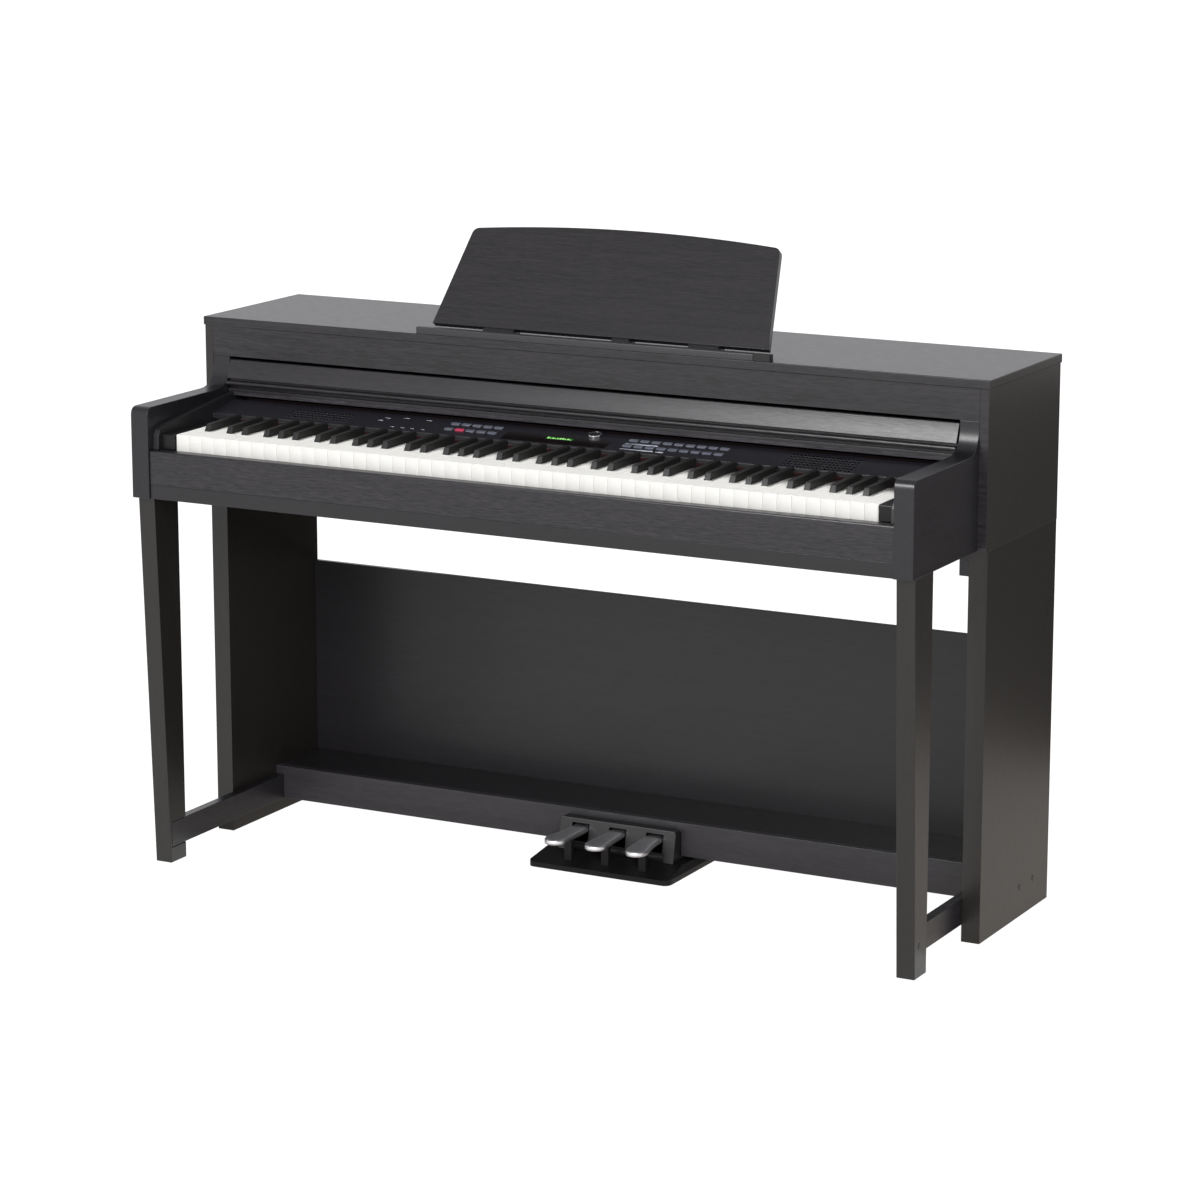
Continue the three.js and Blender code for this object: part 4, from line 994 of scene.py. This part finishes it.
def pedalSkin(centreX, place):
    side = pedalOutline()
    around = [(half, y, 1) for half, y in side] + [(half, y, -1) for half, y in reversed(side[:-1])]
    bm = bmesh.new()
    loops = []
    for inset, drop in pedal["rings"]:
        loop = []
        for half, y, sign in around:
            share = max(half - inset, 0) / half if half > 0.01 else 0
            x = centreX + sign * half * share + place * pedal["splay"] * tipShare(y)
            pull = inset * (1 - min(half / pedal["tipRadius"], 1)) if y < pedal["roundTo"] else 0
            loop.append(bm.verts.new((mm(x), back(y + pull), mm(pedalTop(y + pull) - drop))))
        loops.append(loop)
    count = len(around)
    for lower, upper in zip(loops, loops[1:]):
        for i in range(count - 1):
            bm.faces.new((lower[i], lower[i + 1], upper[i + 1], upper[i]))
    crown = loops[-1]
    for i in range(count // 2):
        strip = (crown[i], crown[i + 1], crown[count - 2 - i], crown[count - 1 - i])
        bm.faces.new(tuple(dict.fromkeys(strip)))  # the last one is a triangle
    bmesh.ops.remove_doubles(bm, verts=bm.verts, dist=mm(pedal["weld"]))
    return bm


def makePedals():
    pivotPlace = (back(pivot["y"]), mm(pivot["z"]))
    for place, label in ((-1, "left"), (0, "middle"), (1, "right")):
        centreX = pedal["x"] + place * pedal["pitch"]
        name, body = "pedal" + label.capitalize(), f"pedal_{label}_arm"
        piece = addPiece(name, pedalSkin(centreX, place), nickelSatin, body=body, nodes=["pedal_" + label],
                         slot="pedal_metal")
        sheet = piece.modifiers.new("sheet", "SOLIDIFY")
        sheet.thickness = mm(pedal["sheet"])
        sheet.offset = -1
        eye, bore, pad = bmesh.new(), bmesh.new(), bmesh.new()
        for bm, radius, half in ((eye, "eyeRadius", "eyeHalf"), (bore, "bore", "boreHalf")):
            disc(bm, pivotPlace, mm(pivot[radius]), mm(centreX - pivot[half]), mm(centreX + pivot[half]),
                 pivot["sides"], "X")
        boss = addPiece(name + "Eye", eye, absBlack, body=body, edge=pivot["edge"], slot="pedal_metal")
        carve(boss, [bore])
        addBox(pad, (centreX - buffer["half"], centreX + buffer["half"]), buffer["y"], buffer["z"])
        addPiece("stopBuffer" + label.capitalize(), pad, feltMaroon, edge=buffer["edge"])


# a dark strip that closes the foot of the housing's face below the pedals: painted shade, where the pedals
# shade the face
shadeSill = {"over": 4, "corners": [(354.4, 20.2), (357.1, 33.4), (358.2, 33.4), (355.4, 20.2)]}


def makeShadeSill():
    reach = pedal["pitch"] + pedal["arm"] / 2 + shadeSill["over"]
    # painted shade: a dark strip where the pedals shade the housing's face
    profilePiece("pedalSill", shadeSill["corners"], mmPair((pedal["x"] - reach, pedal["x"] + reach)), absBase)


unit = {
    "nodes": {"pedal_base": (absBase, 0.8), "pedal_housing": (absHousing, 0.7)}, "edgeSteps": 2,
    "edgeAngle": 30,
}


def dressUnit():
    for node, (material, width) in unit["nodes"].items():
        recolour(node, material)
        softenEdges(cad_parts[node], width, unit["edgeSteps"], unit["edgeAngle"])


makePedals()
makeShadeSill()
dressUnit()
recolour("sound_board", glassFibre)
recolour("speaker_left", paperCone)
recolour("speaker_right", paperCone)
print("pedals made")


caps = {
    "places": {"legCap": (676, 55, 48.4), "sideCapFront": (692.5, 410, 48.4),
               "sideCapBack": (692.5, 466, 48.4)},
    "thickness": 0.5, "radius": 4.8, "sides": 24, "edge": 0.25,
}
screws = {
    "columns": range(-640, 641, 128), "rows": (628, 846), "sideX": 664, "sideRows": (700, 775), "radius": 4,
    "y": (529, 530.2),
}
pins = {"x": (285, 295), "half": 1.2, "y": (512, 526), "z": (664, 669)}


def makeFittings():
    for name, (x, y, z) in caps["places"].items():
        for label, side in (("Left", -1), ("Right", 1)):
            bm = bmesh.new()
            near, far = sorted((side * mm(x), side * mm(x + caps["thickness"])))
            disc(bm, (back(y), mm(z)), mm(caps["radius"]), near, far, caps["sides"], "X")
            addPiece(name + label, bm, absBlack, edge=caps["edge"])
    heads = bmesh.new()
    places = [(x, z) for x in screws["columns"] for z in screws["rows"]]
    places += [(side * screws["sideX"], z) for side in (-1, 1) for z in screws["sideRows"]]
    for place in places:
        disc(heads, mmPair(place), mm(screws["radius"]), *backPair(screws["y"]), axis="Y")
    addPiece("backScrews", heads, steelZinc)
    bm = bmesh.new()
    for x in pins["x"]:
        addBox(bm, (x - pins["half"], x + pins["half"]), pins["y"], pins["z"])
    addPiece("inletPins", bm, steelZinc)


inlet = {
    "flangeX": (266, 314), "flangeZ": (651.5, 681.5), "socketX": (276.2, 303.8), "socketZ": (656.7, 676.3),
    "y": (512.9, 529.3), "floor": 0.5, "caseY": (489.4, 512.8), "wall": 0.6, "edge": 0.5,
}


def makeInlet():
    x, z, socketX, socketZ = inlet["flangeX"], inlet["flangeZ"], inlet["socketX"], inlet["socketZ"]
    flange = bmesh.new()
    addBox(flange, x, inlet["y"], (z[0], socketZ[0]))
    addBox(flange, x, inlet["y"], (socketZ[1], z[1]))
    addBox(flange, (x[0], socketX[0]), inlet["y"], socketZ)
    addBox(flange, (socketX[1], x[1]), inlet["y"], socketZ)
    addBox(flange, socketX, (inlet["y"][0], inlet["y"][0] + inlet["floor"]), socketZ)
    addPiece("inletFlange", flange, absBlack)
    case, wall = bmesh.new(), inlet["wall"]
    addBox(case, (x[0] - wall, x[1] + wall), inlet["caseY"], (z[0] - wall, z[1] + wall))
    addPiece("inletCase", case, absBlack, edge=inlet["edge"])


makeFittings()
makeInlet()
print("fittings made")


# from here on lengths are in metres and angles in degrees
sky = {"horizon": "#fdfcff", "zenith": "#c2c1c5", "climbFrom": 0.2, "climbTo": 0.8, "strength": 1.06}


def makeWorld():
    world = bpy.data.worlds.new("studio")
    bpy.context.scene.world = world
    world.use_nodes = True
    world.cycles_visibility.diffuse = False  # the sky is there for the gloss, and the suns light the colours
    tree = world.node_tree
    place = addNode(tree, "ShaderNodeTexCoord").outputs["Generated"]
    height = addNode(tree, "ShaderNodeSeparateXYZ", links={"Vector": place}).outputs["Z"]
    climb = addNode(tree, "ShaderNodeMapRange", {"From Min": sky["climbFrom"], "From Max": sky["climbTo"]},
                    {"Value": height})
    glow = tree.nodes["Background"]
    glow.inputs["Strength"].default_value = sky["strength"]
    addNode(tree, "ShaderNodeMix", {"A": linear(sky["horizon"]), "B": linear(sky["zenith"])},
            {"Factor": climb.outputs["Result"]}, {"Result": glow.inputs["Color"]}, data_type="RGBA")


def makeCard(name, x, y, z, material):
    # z is one height for a card that lies flat, and two for one that stands at a single y
    corners = [(x[0], y[0], z[0]), (x[1], y[0], z[0]), (x[1], y[-1], z[-1]), (x[0], y[-1], z[-1])]
    mesh = bpy.data.meshes.new(name)
    mesh.from_pydata(corners, [], [(0, 1, 2, 3)])
    mesh.materials.append(material)
    card = bpy.data.objects.new(name, mesh)
    bpy.context.scene.collection.objects.link(card)
    return card


paper = {"half": 30, "albedo": "#606060", "colour": "#ffffff", "glow": 1.01, "roughness": 0.9}


def makeFloor():
    material, _, bsdf, _ = startMaterial("paperWhiteCoated", paper["albedo"], paper["roughness"],
                                         Specular_IOR_Level=0)
    bsdf.inputs["Emission Color"].default_value = linear(paper["colour"])
    bsdf.inputs["Emission Strength"].default_value = paper["glow"]
    reach = (-paper["half"], paper["half"])
    makeCard("floor", reach, reach, (0,), material)


# dim glowing cards that show only in the gloss of the sides, lighter towards the right: painted shade of the
# dark space behind the piano and of the floor in its shadow
flags = {
    "flagBehind": {"x": (-0.9, 3.2), "y": (1.05,), "z": (0, 0.75), "glow": (0.0, 0.12), "ramp": (0.2, 1.2)},
    "flagBelow": {"x": (-0.95, 1.5), "y": (-0.1, 1.05), "z": (0.001,), "glow": (0.42, 0.74),
                  "ramp": (0.3, 0.75)},
}
flagShade = {"colour": "#0c0b0a", "roughness": 1.0, "glow": "#fff6ee"}


def makeFlags():
    for name, settings in flags.items():
        material, tree, bsdf, place = startMaterial(name + "Velvet", flagShade["colour"], flagShade["roughness"],
                                                    Specular_IOR_Level=0)
        along = addNode(tree, "ShaderNodeSeparateXYZ", links={"Vector": place}).outputs["X"]
        bsdf.inputs["Emission Color"].default_value = linear(flagShade["glow"])
        # painted shade: the glow of each card rises along x, standing in for the shaded floor and
        # surroundings
        (start, end), (low, high) = settings["ramp"], settings["glow"]
        addNode(tree, "ShaderNodeMapRange",
                {"From Min": start, "From Max": end, "To Min": low, "To Max": high},
                {"Value": along}, {"Result": bsdf.inputs["Emission Strength"]})
        card = makeCard(name, settings["x"], settings["y"], settings["z"], material)
        card.visible_camera = card.visible_diffuse = card.visible_shadow = card.visible_transmission = False


softbox = {"place": (-0.25, -2.5, 2.0), "aim": (0.35, -0.05, 0.75), "width": 1.0, "height": 0.8, "power": 72}
# wide soft lights, from above and behind and from the front, which leave no glint of their own
suns = {
    "overhead": {"strength": 3.8, "lean": -45, "turn": 40, "angle": 7},
    "fill": {"strength": 3.0, "lean": 66, "turn": 30, "angle": 40},
}


def makeLights():
    data = bpy.data.lights.new("softbox", "AREA")
    data.shape = "RECTANGLE"
    data.size, data.size_y, data.energy = softbox["width"], softbox["height"], softbox["power"]
    light = bpy.data.objects.new("softbox", data)
    light.location = softbox["place"]
    aim = Vector(softbox["aim"]) - Vector(softbox["place"])
    light.rotation_euler = aim.to_track_quat("-Z", "Y").to_euler()
    light.visible_camera = light.visible_diffuse = False  # it is there for the gloss
    bpy.context.scene.collection.objects.link(light)
    for name, settings in suns.items():
        data = bpy.data.lights.new(name, "SUN")
        data.energy, data.angle = settings["strength"], math.radians(settings["angle"])
        light = bpy.data.objects.new(name, data)
        light.rotation_euler = (math.radians(settings["lean"]), 0, math.radians(settings["turn"]))
        light.visible_glossy = False
        bpy.context.scene.collection.objects.link(light)


bpy.context.scene.view_settings.view_transform = "Standard"
makeWorld()
makeFloor()
makeFlags()
makeLights()
print("studio set")
